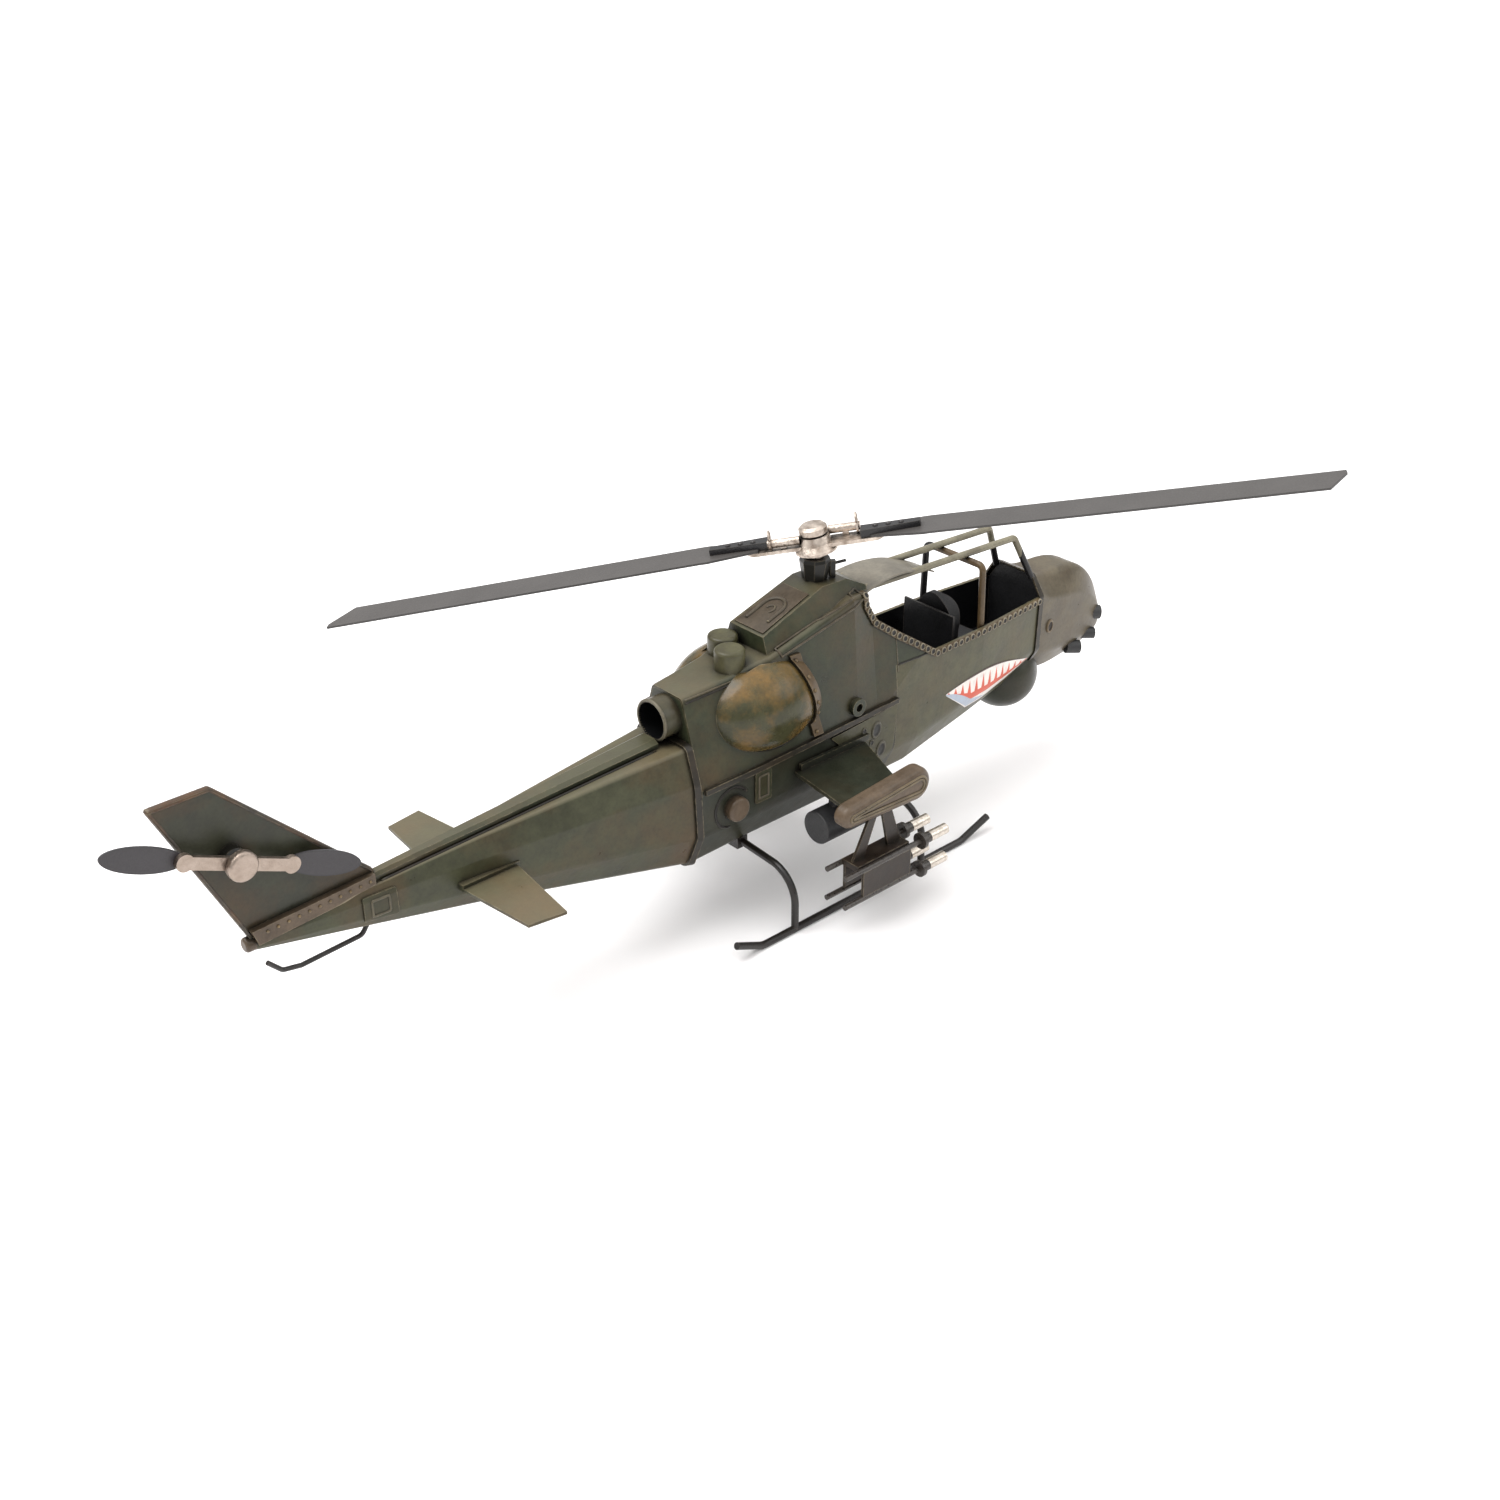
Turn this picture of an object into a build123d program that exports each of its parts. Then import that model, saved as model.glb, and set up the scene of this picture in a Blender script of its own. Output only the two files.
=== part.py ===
"""Handmade sheet-metal attack helicopter, a display toy, built as its separate pieces. Millimetres.

+X points to the nose, +Y to port, +Z up. The origin is on the ground under the middle of the model:
the nose tip and the aft tip of the tail rotor are the same distance from it.
"""
import math
import os

from build123d import *

os.makedirs("parts", exist_ok=True)

# ---------------------------------------------------------------- driving dimensions
nose_length = 52.5        # nose cone, from its band to its tip
cockpit_length = 95.0     # open cockpit, from the engine bay to the nose band
bay_length = 104.0        # engine bay, from the tail joint to the cockpit
boom_length = 178.0       # tail boom, from the tail joint to its blunt end
sheet = 0.8               # tin sheet of the hull, boom and covers
trim_proud = 0.7          # how far a soldered strip stands off the sheet under it

belly_z = 29.5            # flat belly above the ground
side_half_width = 20.6    # hull's widest half width
seam_z = 64.0             # seam between the lower hull and the engine casing
sill_z = 81.5             # cockpit sill
sill_half_width = 19.2    # cockpit's half width at the canopy hoop
deck_z = 101.8            # rear deck in front of the exhaust
shoulder_z = 117.0        # highest line of the engine casing, beside the mast
cowl_top_z = 122.5        # flat top of the cowl round the mast

rotor_radius = 200.0      # main rotor, centre to blade tip
rotor_heading = -48.0     # raised blade, turned from +X towards starboard
teeter_limit = 11.0       # the rotor head rests against this stop
blade_droop = 1.9         # bend down outboard of the blade's root, degrees
blade_chord = 16.0
blade_thickness = 0.8
blade_bend_r = 45.0
hub_z = 137.5             # teeter pin above the ground
mast_radius = 2.0
bush_radius = 3.0
teeter_pin_radius = 1.0
running_gap = 0.05        # radial clearance of every turning shaft

tail_rotor_radius = 47.5
tail_blade_tilt = 24.0    # tail blades turned in the fin's plane
tail_blade_half_length = 14.5
tail_blade_half_width = 4.6
tail_hub_aft = 4.0        # tail rotor axis behind the end of the boom
tail_hub_z = 105.0
tail_shaft_radius = 1.0

skid_rod_radius = 1.5
skid_track = 85.0         # between the two skids
skid_flat = 0.25          # dressed off the underside so that the skids don't rock
cross_tube_radius = 1.5
canopy_rod_radius = 1.45
wing_half_span = 58.0     # centre plane to the middle of the wingtip fairing
wing_z = 55.5
pipe_radius = 8.2
pipe_z = 89.6

# ---------------------------------------------------------------- stations along the hull
tail_tip = tail_rotor_radius - tail_blade_half_length
tilt = math.radians(tail_blade_tilt)
blade_reach = tail_tip * math.cos(tilt) + math.hypot(
    tail_blade_half_length * math.cos(tilt), tail_blade_half_width * math.sin(tilt))
overall_length = nose_length + cockpit_length + bay_length + boom_length + tail_hub_aft + blade_reach

nose_x = overall_length / 2
band_x = nose_x - nose_length
bay_x = band_x - cockpit_length
joint_x = bay_x - bay_length
tail_x = joint_x - boom_length
mast_x = bay_x - 28.0
opening_x = bay_x - 13.0
hoop_x = bay_x + 53.5
tail_hub_x = tail_x - tail_hub_aft


def save(piece, name):
    """Label one finished piece and write it."""
    piece.part.label = name
    export_step(piece.part, f"parts/{name}.step")


def section(x, outline, grow=0.0):
    """Closed hull section at x: corners (half width, height, corner radius) from belly to top."""
    port = [(half, z) for half, z, _ in outline]
    starboard = [(-half, z) for half, z in reversed(port)]
    radii = [r for _, _, r in outline]
    with BuildSketch(Plane.YZ.offset(x)) as ring:
        with BuildLine():
            FilletPolyline(*(port + starboard), radius=radii + radii[::-1], close=True)
        make_face()
        if grow:
            offset(amount=grow, kind=Kind.INTERSECTION)
    return ring.sketch


def hull(stations, grow=0.0, ruled=True):
    """Solid skinned over a list of (x, outline), grown outwards or inwards by grow."""
    with BuildPart() as body:
        for x, outline in stations:
            add(section(x, outline, grow))
        loft(ruled=ruled)
    return body.part


def side_slab(points, radius=0.0, y_low=-60.0, y_high=60.0):
    """Solid with a side-view outline of (x, z) corners, from y_low to y_high."""
    with BuildPart() as slab:
        with BuildSketch(Plane.XZ.offset(-y_high)):
            with BuildLine():
                FilletPolyline(*points, radius=radius, close=True)
            make_face()
        extrude(amount=y_high - y_low)
    return slab.part


def block(x_range, y_range, z_range):
    """Plain box between two corners, for cutting and keeping regions."""
    size = [high - low for low, high in (x_range, y_range, z_range)]
    middle = [(high + low) / 2 for low, high in (x_range, y_range, z_range)]
    return Pos(*middle) * Box(*size, mode=Mode.PRIVATE)


def round_bar(middle, turn, radius, length):
    """Plain cylinder centred on middle and turned from +Z, for cutting holes."""
    return Pos(*middle) * Rot(*turn) * Cylinder(radius, length, mode=Mode.PRIVATE)


def rod(points, radius, bend):
    """Round rod along straight runs joined by bends."""
    with BuildPart() as bar:
        with BuildLine() as route:
            if len(points) == 2:
                Line(*points)
            else:
                FilletPolyline(*points, radius=bend)
        with BuildSketch(Plane(route.line @ 0, z_dir=route.line % 0)):
            Circle(radius)
        sweep()
    return bar.part


def both_sides(starboard):
    """The piece together with its port twin."""
    return [starboard, mirror(starboard, about=Plane.XZ)]


# ---------------------------------------------------------------- hull skins
boom_drop = 0.8           # the boom's belly hangs this far below the hull's at the tail joint
boom_roof_drop = 21.0     # the boom's roof starts this far below the rear deck
boom_rise = 38.3          # its belly rises this far towards the tail
boom_fall = 9.8           # and its roof falls this far


def boom_roof(share):
    """Height of the boom's roof, at a share of its length aft of the tail joint."""
    return deck_z - boom_roof_drop - boom_fall * share


def fuselage_stations():
    """Sections from the tail joint to the nose band."""
    widest = side_half_width
    low, high = belly_z + 15.5, belly_z + 34.0
    bay_side = [(13.0, belly_z, 5), (widest, low, 12), (widest, high, 3)]
    return [
        (joint_x, [(13.0, belly_z - boom_drop, 5), (widest - 1.0, low, 12), (widest - 1.2, high, 3),
                   (8.5, deck_z - 2.8, 2)]),
        (joint_x + 26, bay_side + [(10.5, deck_z, 2)]),
        (joint_x + 40, bay_side + [(14.0, deck_z + 3, 2)]),
        (mast_x + 6, bay_side + [(16.0, shoulder_z, 2)]),
        (opening_x + 2, bay_side + [(14.0, shoulder_z - 1.5, 2)]),
        (bay_x + 13, [(12.5, belly_z, 5), (widest - 0.3, low, 12), (widest - 0.5, sill_z, 3),
                      (16.0, shoulder_z - 7, 2)]),
        (hoop_x, [(11.0, belly_z + 7.2, 5), (widest - 2.0, low + 6, 10), (sill_half_width, sill_z, 3),
                  (15.0, shoulder_z - 12, 2)]),
        (band_x, [(8.0, belly_z + 14.5, 4), (15.0, belly_z + 26.5, 6), (15.5, sill_z, 3),
                  (9.5, sill_z + 8.3, 2)]),
    ]


def boom_stations():
    """Sections of the tapered boom, from the tail joint aft."""

    def station(share, low, side, shoulder, top, radius):
        x = joint_x - boom_length * share
        floor = belly_z - boom_drop + boom_rise * share
        roof = boom_roof(share)
        height = roof - floor
        return (x, [(low, floor, radius), (side, floor + 0.3 * height, radius * 1.5),
                    (shoulder, floor + 0.72 * height, radius), (top, roof, radius * 0.6)])

    return [station(0.0, 13.0, 19.4, 18.0, 13.5, 4.0), station(0.52, 5.0, 8.4, 7.8, 5.4, 2.2),
            station(0.77, 3.2, 5.0, 4.8, 3.6, 1.5), station(1.0, 1.6, 2.3, 2.3, 1.8, 0.6)]


def nose_stations():
    """Sections of the nose cone, from its band to its blunt tip."""
    return [
        (band_x, [(8.0, belly_z + 14.5, 4), (15.0, belly_z + 26.5, 6), (15.5, sill_z, 3),
                  (9.5, sill_z + 8.3, 3)]),
        (band_x + 0.36 * nose_length, [(7.5, belly_z + 11, 4), (13.4, belly_z + 21, 5),
                                       (13.8, sill_z - 6, 4),
                                       (8.2, sill_z + 5.2, 4)]),
        (band_x + 0.67 * nose_length, [(6.4, belly_z + 12, 4), (11.6, belly_z + 20, 4),
                                       (12.0, sill_z - 11, 4),
                                       (7.6, sill_z + 1.2, 4)]),
        (band_x + 0.88 * nose_length, [(5.2, belly_z + 14, 3), (9.6, belly_z + 20, 3),
                                       (9.6, sill_z - 19, 3),
                                       (6.0, sill_z - 9.5, 3)]),
        (nose_x, [(3.4, belly_z + 18.5, 1.5), (6.4, belly_z + 22, 1.5), (6.4, sill_z - 26.5, 1.5),
                  (4.2, sill_z - 23, 1.5)]),
    ]


fuselage = hull(fuselage_stations())
fuselage_inside = hull(fuselage_stations(), grow=-sheet)
fuselage_skin = hull(fuselage_stations(), grow=trim_proud)
boom = hull(boom_stations())
boom_inside = hull(boom_stations()[:3], grow=-sheet)
nose = hull(nose_stations(), ruled=False)
nose_inside = hull(nose_stations()[:4], grow=-sheet, ruled=False)

# The sill line, seen from the side: up behind the rear seat, level along the cockpit.
sill_line = [(opening_x, shoulder_z + 10), (opening_x, shoulder_z - 5.5),
             (opening_x + 4.5, shoulder_z - 13.5),
             (bay_x + 3.5, sill_z + 13.3), (bay_x + 23, sill_z), (band_x - 3.5, sill_z), (band_x - 1.5,
                                                                                          sill_z + 12)]
opening = side_slab(sill_line + [(band_x - 1.5, 140), (opening_x, 140)])
everywhere = (-40.0, 40.0)
mast_hole = round_bar((mast_x, 0, shoulder_z), (0, 0, 0), bush_radius, 30)

with BuildPart() as center_hull:
    add(fuselage)
    add(fuselage_inside, mode=Mode.SUBTRACT)
    add(block((joint_x, bay_x), everywhere, (0, seam_z)), mode=Mode.INTERSECT)
save(center_hull, "center_hull")

with BuildPart() as cockpit_hull:
    add(fuselage)
    add(fuselage_inside, mode=Mode.SUBTRACT)
    add(block((bay_x, band_x), everywhere, (0, sill_z)), mode=Mode.INTERSECT)
save(cockpit_hull, "cockpit_hull")

with BuildPart() as engine_casing:
    add(fuselage)
    add(fuselage_inside, mode=Mode.SUBTRACT)
    add(block((joint_x, band_x), everywhere, (seam_z, 140)), mode=Mode.INTERSECT)
    add(block((bay_x, band_x), everywhere, (0, sill_z)), mode=Mode.SUBTRACT)
    add(opening, mode=Mode.SUBTRACT)
    add(block((bay_x + 30, band_x + 1), everywhere, (0, 140)), mode=Mode.SUBTRACT)
    add(mast_hole, mode=Mode.SUBTRACT)
save(engine_casing, "engine_casing")

# Formers inside the hull: each is a slice of the space inside the skin.
former_thickness = 1.0
floor_z = 57.0
with BuildPart() as casing_rear_plate:
    add(fuselage_inside)
    add(block((joint_x, joint_x + former_thickness), everywhere, (belly_z - 5, 140)), mode=Mode.INTERSECT)
    add(round_bar((joint_x, 0, pipe_z), (0, 90, 0), pipe_radius, 10), mode=Mode.SUBTRACT)
save(casing_rear_plate, "casing_rear_plate")

bulkhead_x = opening_x + 2.0
with BuildPart() as cockpit_bulkhead:
    add(fuselage_inside)
    add(block((bulkhead_x - former_thickness, bulkhead_x), everywhere, (floor_z, 140)), mode=Mode.INTERSECT)
    add(opening, mode=Mode.SUBTRACT)
    add(block((bulkhead_x - former_thickness, bulkhead_x), (-11, 11), (seam_z, shoulder_z - 2.5)))
    add(fuselage_inside, mode=Mode.INTERSECT)
save(cockpit_bulkhead, "cockpit_bulkhead")

with BuildPart() as cockpit_floor:
    add(fuselage_inside)
    pan = block((bulkhead_x, band_x), everywhere, (floor_z, floor_z + former_thickness))
    front_wall = block((band_x - former_thickness, band_x), everywhere, (floor_z, 140))
    add(pan + front_wall, mode=Mode.INTERSECT)
save(cockpit_floor, "cockpit_floor")

seat_half_width = 10.0
seat_thickness = 2.4
seat_pitch = 42.0


def seat_profile(back_x, top_z):
    """Side view of a seat: a level pan and a leaning back with a wavy front edge."""
    deck = floor_z + former_thickness
    with BuildPart() as seat:
        with BuildSketch(Plane.XZ.offset(-seat_half_width)):
            with BuildLine():
                back = Spline((back_x + 3, deck + 12), (back_x + 0.5, deck + 22), (back_x + 1.5, deck + 31),
                              (back_x - 3.5, top_z))
                Polyline(back @ 1, (back_x - 3.5 - seat_thickness, top_z), (back_x - 1, deck + 12),
                         (back_x - 1, deck), (back_x + 19, deck), (back_x + 20, deck + 11), back @ 0)
            make_face()
        extrude(amount=2 * seat_half_width)
        with BuildSketch(Plane.YZ.offset(back_x - 30)):
            with BuildLine():
                shoulder = Spline((seat_half_width, deck + 12), (seat_half_width, top_z - 13),
                                  (seat_half_width - 3.5, top_z - 4), (0, top_z), (3.5 - seat_half_width,
                                                                                   top_z - 4),
                                  (-seat_half_width, top_z - 13), (-seat_half_width, deck + 12))
                Polyline(shoulder @ 1, (-seat_half_width, deck), (seat_half_width, deck), shoulder @ 0)
            make_face()
        extrude(amount=60, mode=Mode.INTERSECT)
    return seat.part


with BuildPart() as seats:
    add(seat_profile(bulkhead_x + 16, sill_z + 15))
    add(seat_profile(bulkhead_x + 16 + seat_pitch, sill_z + 13))
save(seats, "seats")

partition_x = bulkhead_x + 8 + seat_pitch
with BuildPart() as instrument_partition:
    add(fuselage_inside)
    add(block((partition_x, partition_x + former_thickness), (-14, 14), (floor_z + former_thickness,
                                                                         sill_z + 7)),
        mode=Mode.INTERSECT)
save(instrument_partition, "instrument_partition")

# ---------------------------------------------------------------- nose
band_width = 3.0
with BuildPart() as nose_band:
    add(hull(fuselage_stations()[-2:], grow=trim_proud))
    add(fuselage, mode=Mode.SUBTRACT)
    add(block((band_x - band_width, band_x), everywhere, (0, 140)), mode=Mode.INTERSECT)
save(nose_band, "nose_band")

with BuildPart() as nose_shell:
    add(nose)
    add(nose_inside, mode=Mode.SUBTRACT)
save(nose_shell, "nose_shell")

sight_radius = 3.2
with BuildPart() as nose_sights:
    for x, y, z, radius in ((nose_x - 9.5, -6.5, seam_z - 7, sight_radius),
                            (nose_x - 15, -8.5, seam_z - 15, 2.6),
                            (nose_x - 26, -9.5, seam_z - 18, 3.0)):
        with BuildSketch(Plane((x, y, z), z_dir=(0.86, -0.5, -0.1))):
            Circle(radius)
        extrude(amount=6.5)
    add(nose, mode=Mode.SUBTRACT)
save(nose_sights, "nose_sights")

turret_radius = 16.0
turret_x = band_x - 6.0
with BuildPart() as chin_turret:
    with Locations((turret_x, 0, belly_z + 12.0)):
        Sphere(turret_radius)
    add(block((turret_x - 30, turret_x + 30), everywhere, (sill_z - 28, 140)), mode=Mode.SUBTRACT)
    add(fuselage, mode=Mode.SUBTRACT)
    add(nose, mode=Mode.SUBTRACT)
    add(nose_band.part, mode=Mode.SUBTRACT)
save(chin_turret, "chin_turret")

# ---------------------------------------------------------------- tail boom
with BuildPart() as tail_boom:
    add(boom)
    add(boom_inside, mode=Mode.SUBTRACT)
save(tail_boom, "tail_boom")

with BuildPart() as joint_band:
    add(hull(boom_stations()[:2], grow=trim_proud + 0.3))
    add(boom, mode=Mode.SUBTRACT)
    add(block((joint_x - band_width, joint_x), everywhere, (0, 140)), mode=Mode.INTERSECT)
    add(round_bar((joint_x, 0, pipe_z), (0, 90, 0), pipe_radius, 20), mode=Mode.SUBTRACT)
save(joint_band, "joint_band")

spine_front_x = joint_x - 9.0
spine_rear_x = joint_x - boom_length * 0.74
spine_height = 3.2
with BuildPart() as boom_spine_cover:
    for x, half in ((spine_front_x, 5.2), (spine_rear_x, 2.2)):
        roof = boom_roof((joint_x - x) / boom_length)
        with BuildSketch(Plane.YZ.offset(x)):
            with BuildLine():
                Polyline((-half, roof - 3), (half, roof - 3), (half, roof + 0.6 * spine_height),
                         (0.6 * half, roof + spine_height), (-0.6 * half, roof + spine_height),
                         (-half, roof + 0.6 * spine_height), close=True)
            make_face()
    loft(ruled=True)
    add(boom, mode=Mode.SUBTRACT)
save(boom_spine_cover, "boom_spine_cover")

plug_radius = 2.7
with BuildPart() as tail_end_plug:
    with BuildSketch(Plane.YZ.offset(tail_x)):
        with Locations((0, (belly_z - boom_drop + boom_rise + boom_roof(1.0)) / 2 + 0.3)):
            Circle(plug_radius)
    extrude(amount=-3.5)
    fillet(edges().group_by(Axis.X)[0], 1.2)
save(tail_end_plug, "tail_end_plug")

stabilizer_z = 60.0
stabilizer_thickness = 1.2
stabilizer_x = joint_x - boom_length * 0.435
with BuildPart() as starboard_stabilizer:
    with BuildSketch(Plane.XY.offset(stabilizer_z)):
        with BuildLine():
            Polyline((stabilizer_x, 0), (stabilizer_x - 6.4, -45.2), (stabilizer_x - 21.2, -43),
                     (stabilizer_x - 26, 0), close=True)
        make_face()
    extrude(amount=stabilizer_thickness)
    add(block((stabilizer_x - 25, stabilizer_x - 0.5), (-10.2, 0), (stabilizer_z, stabilizer_z + 2.6)))
    add(block((-200, 0), (-5, 5), (0, 140)), mode=Mode.SUBTRACT)
    add(boom, mode=Mode.SUBTRACT)

with BuildPart() as stabilizers:
    add(both_sides(starboard_stabilizer.part))
save(stabilizers, "stabilizers")

fin_thickness = 2.4
fin_front_x = tail_x + 46.6
fin_outline = [(fin_front_x, 70.0), (fin_front_x, 77.9), (tail_x - 7.0, 131.0), (tail_x - 28.8, 131.0),
               (tail_x - 0.6, 70.0)]
with BuildPart() as fin:
    add(side_slab(fin_outline, radius=[0, 2.0, 0.8, 1.5, 0], y_low=-fin_thickness / 2,
                  y_high=fin_thickness / 2))
    add(boom, mode=Mode.SUBTRACT)
    add(boom_spine_cover.part, mode=Mode.SUBTRACT)
    add(round_bar((tail_hub_x, 0, tail_hub_z), (90, 0, 0), tail_shaft_radius + running_gap, 20),
        mode=Mode.SUBTRACT)
    add(tail_end_plug.part, mode=Mode.SUBTRACT)
save(fin, "fin")

strip_height = 6.0
with BuildPart() as starboard_root_strip:
    add(side_slab([(tail_x + 0.5, 69.5), (fin_front_x - 1, 72.5), (fin_front_x - 1, 77.5),
                   (tail_x - 1.5, 69.5 + strip_height)],
                  y_low=-fin_thickness / 2 - 2.4, y_high=-fin_thickness / 2))
    for neighbour in (boom, boom_spine_cover.part, tail_end_plug.part):
        add(neighbour, mode=Mode.SUBTRACT)

with BuildPart() as fin_root_strips:
    add(both_sides(starboard_root_strip.part))
save(fin_root_strips, "fin_root_strips")

skid_wire_radius = 0.9
wire_z = 53.6
with BuildPart() as tail_skid:
    add(rod([(tail_x + 45, 0, 60.5), (tail_x + 40, 0, wire_z), (tail_x + 16, 0, wire_z - 1.2),
             (tail_x + 9, 0, wire_z + 0.2), (tail_x + 4, 0, wire_z + 5.5)], skid_wire_radius, 3.0))
    add(boom, mode=Mode.SUBTRACT)
save(tail_skid, "tail_skid")

# ---------------------------------------------------------------- engine cowl, roof and exhaust
cowl_rear_x = joint_x + 40
cowl_rear_height = 9.8
cowl_plateau_x = mast_x + 9
cowl_front_x = opening_x + 3


def cowl_body(inset):
    """Tapered cover over the mast gearbox, inset all round for its hollow."""
    with BuildPart() as cover:
        for x, low_half, low_z, top_half, top_z in (
                (cowl_rear_x, 13.4, deck_z - 2, 9.4, deck_z + cowl_rear_height),
                (mast_x - 4, 15.2,
                                                                                  shoulder_z - 6, 8.4, cowl_top_z),
                (cowl_plateau_x, 15.4, shoulder_z - 6, 8.6, cowl_top_z - 0.4),
                (cowl_front_x, 13.0, shoulder_z - 8, 10.5, shoulder_z + 0.4)):
            with BuildSketch(Plane.YZ.offset(x)):
                with BuildLine():
                    Polyline((-low_half + inset, low_z), (low_half - inset, low_z),
                             (top_half - inset, top_z - inset), (-top_half + inset,
                                                                 top_z - inset), close=True)
                make_face()
        loft(ruled=True)
    return cover.part


with BuildPart() as cowl:
    add(cowl_body(0.0))
    add(fuselage, mode=Mode.SUBTRACT)
    add(mast_hole, mode=Mode.SUBTRACT)
save(cowl, "cowl")

hatch_slope = Plane((cowl_rear_x, 0, deck_z + cowl_rear_height), x_dir=(0, -1, 0),
                    z_dir=(-(cowl_top_z - deck_z - cowl_rear_height), 0, mast_x - 4 - cowl_rear_x))
hatch_length = mast_x - cowl_rear_x - 8.5
with BuildPart() as cowl_hatch:
    with BuildSketch(hatch_slope):
        with BuildLine():
            Polyline((-8.0, 1.4), (8.0, 1.4), (7.2, hatch_length), (-7.2, hatch_length), close=True)
        make_face()
    extrude(amount=0.5)
    add(cowl_body(0.0), mode=Mode.SUBTRACT)
save(cowl_hatch, "cowl_hatch")

roof_front_x = opening_x + 49
with BuildPart() as roof_panel:
    with BuildSketch(Plane.XZ.offset(-11)):
        with BuildLine():
            top = ThreePointArc((cowl_front_x, shoulder_z - 2.6), (opening_x + 22, shoulder_z - 1.2),
                                (roof_front_x, shoulder_z - 9.5))
            under = ThreePointArc((roof_front_x, shoulder_z - 9.5 - sheet),
                                  (opening_x + 22, shoulder_z - 1.2 - sheet),
                                  (cowl_front_x, shoulder_z - 2.6 - sheet))
            Line(top @ 1, under @ 0)
            Line(under @ 1, top @ 0)
        make_face()
    extrude(amount=22)
    with BuildSketch(Plane.XY.offset(50)):
        with BuildLine():
            Polyline((cowl_front_x, -11), (opening_x + 30, -9), (roof_front_x, -5), (roof_front_x, 5),
                     (opening_x + 30, 9), (cowl_front_x, 11), close=True)
        make_face()
    extrude(amount=100, mode=Mode.INTERSECT)
    add(cockpit_bulkhead.part, mode=Mode.SUBTRACT)
    add(cowl.part, mode=Mode.SUBTRACT)
save(roof_panel, "roof_panel")

pipe_wall = 0.9
with BuildPart() as exhaust_pipe:
    with BuildSketch(Plane.YZ.offset(joint_x - 8.0)):
        with Locations((0, pipe_z)):
            Circle(pipe_radius)
            Circle(pipe_radius - pipe_wall, mode=Mode.SUBTRACT)
    extrude(amount=20.0)
save(exhaust_pipe, "exhaust_pipe")

cap_radius = 6.0
cap_height = 8.0
cap_places = ((joint_x + 27.3, -4.6), (joint_x + 33.5, 6.3))
with BuildPart() as filler_caps:
    with BuildSketch(Plane.XY.offset(deck_z - 3)):
        with Locations(*cap_places):
            Circle(cap_radius)
    extrude(amount=cap_height + 3)
    fillet(edges().group_by(Axis.Z)[-1], 1.4)
    add(fuselage, mode=Mode.SUBTRACT)
    add(cowl_body(0.0), mode=Mode.SUBTRACT)
save(filler_caps, "filler_caps")

# ---------------------------------------------------------------- intakes and side details
scoop_x = joint_x + 39.0
scoop_z = 84.5
scoop_half_length = 27.5
scoop_radius = 19.2
scoop_y = -8.3
strap_lean = 13.5
strap_width = 5.0
strap_proud = 1.2
strap_foot_x = joint_x + 62.5


def scoop_body(grow):
    """Half-egg bulb lying along the hull side, grown outwards by grow."""
    with BuildPart() as egg:
        with BuildSketch(Plane.XY.offset(0)) as half:
            with BuildLine():
                EllipticalCenterArc((0, 0), scoop_half_length + grow, scoop_radius + grow, 0, arc_size=180)
                Line((-scoop_half_length - grow, 0), (scoop_half_length + grow, 0))
            make_face()
        revolve(axis=Axis.X)
    return Pos(scoop_x, scoop_y, scoop_z) * egg.part


def leaning_slab(x_low, x_high):
    """Slab across the hull that leans aft with the strap, between two stations at the seam's height."""
    lean = math.tan(math.radians(strap_lean))
    top = 60.0
    return side_slab([(x_low, seam_z), (x_high, seam_z), (x_high - top * lean, seam_z + top),
                      (x_low - top * lean, seam_z + top)], y_low=-60, y_high=0)


with BuildPart() as starboard_scoop:
    add(scoop_body(0.0))
    add(leaning_slab(joint_x - 20, strap_foot_x), mode=Mode.INTERSECT)
    add(fuselage, mode=Mode.SUBTRACT)
    add(block((joint_x - 20, cowl_rear_x - 0.3), (-12.8, 5), (deck_z - 0.3, deck_z + 20)),
        mode=Mode.SUBTRACT)
    add(block((cowl_rear_x - 0.3, bay_x), (-14.4, 5), (deck_z - 2.3, deck_z + 20)), mode=Mode.SUBTRACT)

with BuildPart() as intake_scoops:
    add(both_sides(starboard_scoop.part))
save(intake_scoops, "intake_scoops")

with BuildPart() as starboard_strap:
    add(scoop_body(strap_proud))
    add(hull(fuselage_stations(), grow=strap_proud))
    add(leaning_slab(strap_foot_x - strap_width, strap_foot_x), mode=Mode.INTERSECT)
    add(block((joint_x, bay_x), (-60, -2), (seam_z + 3.2, deck_z + 1.5)), mode=Mode.INTERSECT)
    add(scoop_body(0.0), mode=Mode.SUBTRACT)
    add(fuselage, mode=Mode.SUBTRACT)

with BuildPart() as scoop_straps:
    add(both_sides(starboard_strap.part))
save(scoop_straps, "scoop_straps")


def side_strip(points, radius=0.0, proud=trim_proud):
    """Starboard strip that follows the hull side, with a side-view outline of (x, z) corners."""
    with BuildPart() as strip:
        add(hull(fuselage_stations(), grow=proud))
        add(fuselage, mode=Mode.SUBTRACT)
        add(side_slab(points, radius, y_low=-60, y_high=-2), mode=Mode.INTERSECT)
    return strip.part


ledge_height = 2.2
with BuildPart() as ledge_strips:
    add(both_sides(side_strip([(joint_x + 1, seam_z - 1.8), (bay_x, seam_z + 1.6),
                               (bay_x, seam_z + 1.6 + ledge_height), (joint_x + 1,
                                                                      seam_z - 1.8 + ledge_height)],
                              proud=1.5)))
save(ledge_strips, "ledge_strips")

with BuildPart() as wing_root_plates:
    add(both_sides(side_strip([(bay_x - 38, seam_z - 1.2), (bay_x - 22, wing_z - 8),
                               (bay_x - 20, belly_z + 9),
                               (bay_x - 3, belly_z + 9), (bay_x, seam_z + 1.2)], radius=[0.3, 4, 5, 7,
                                                                                         0.3])))
save(wing_root_plates, "wing_root_plates")

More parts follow.
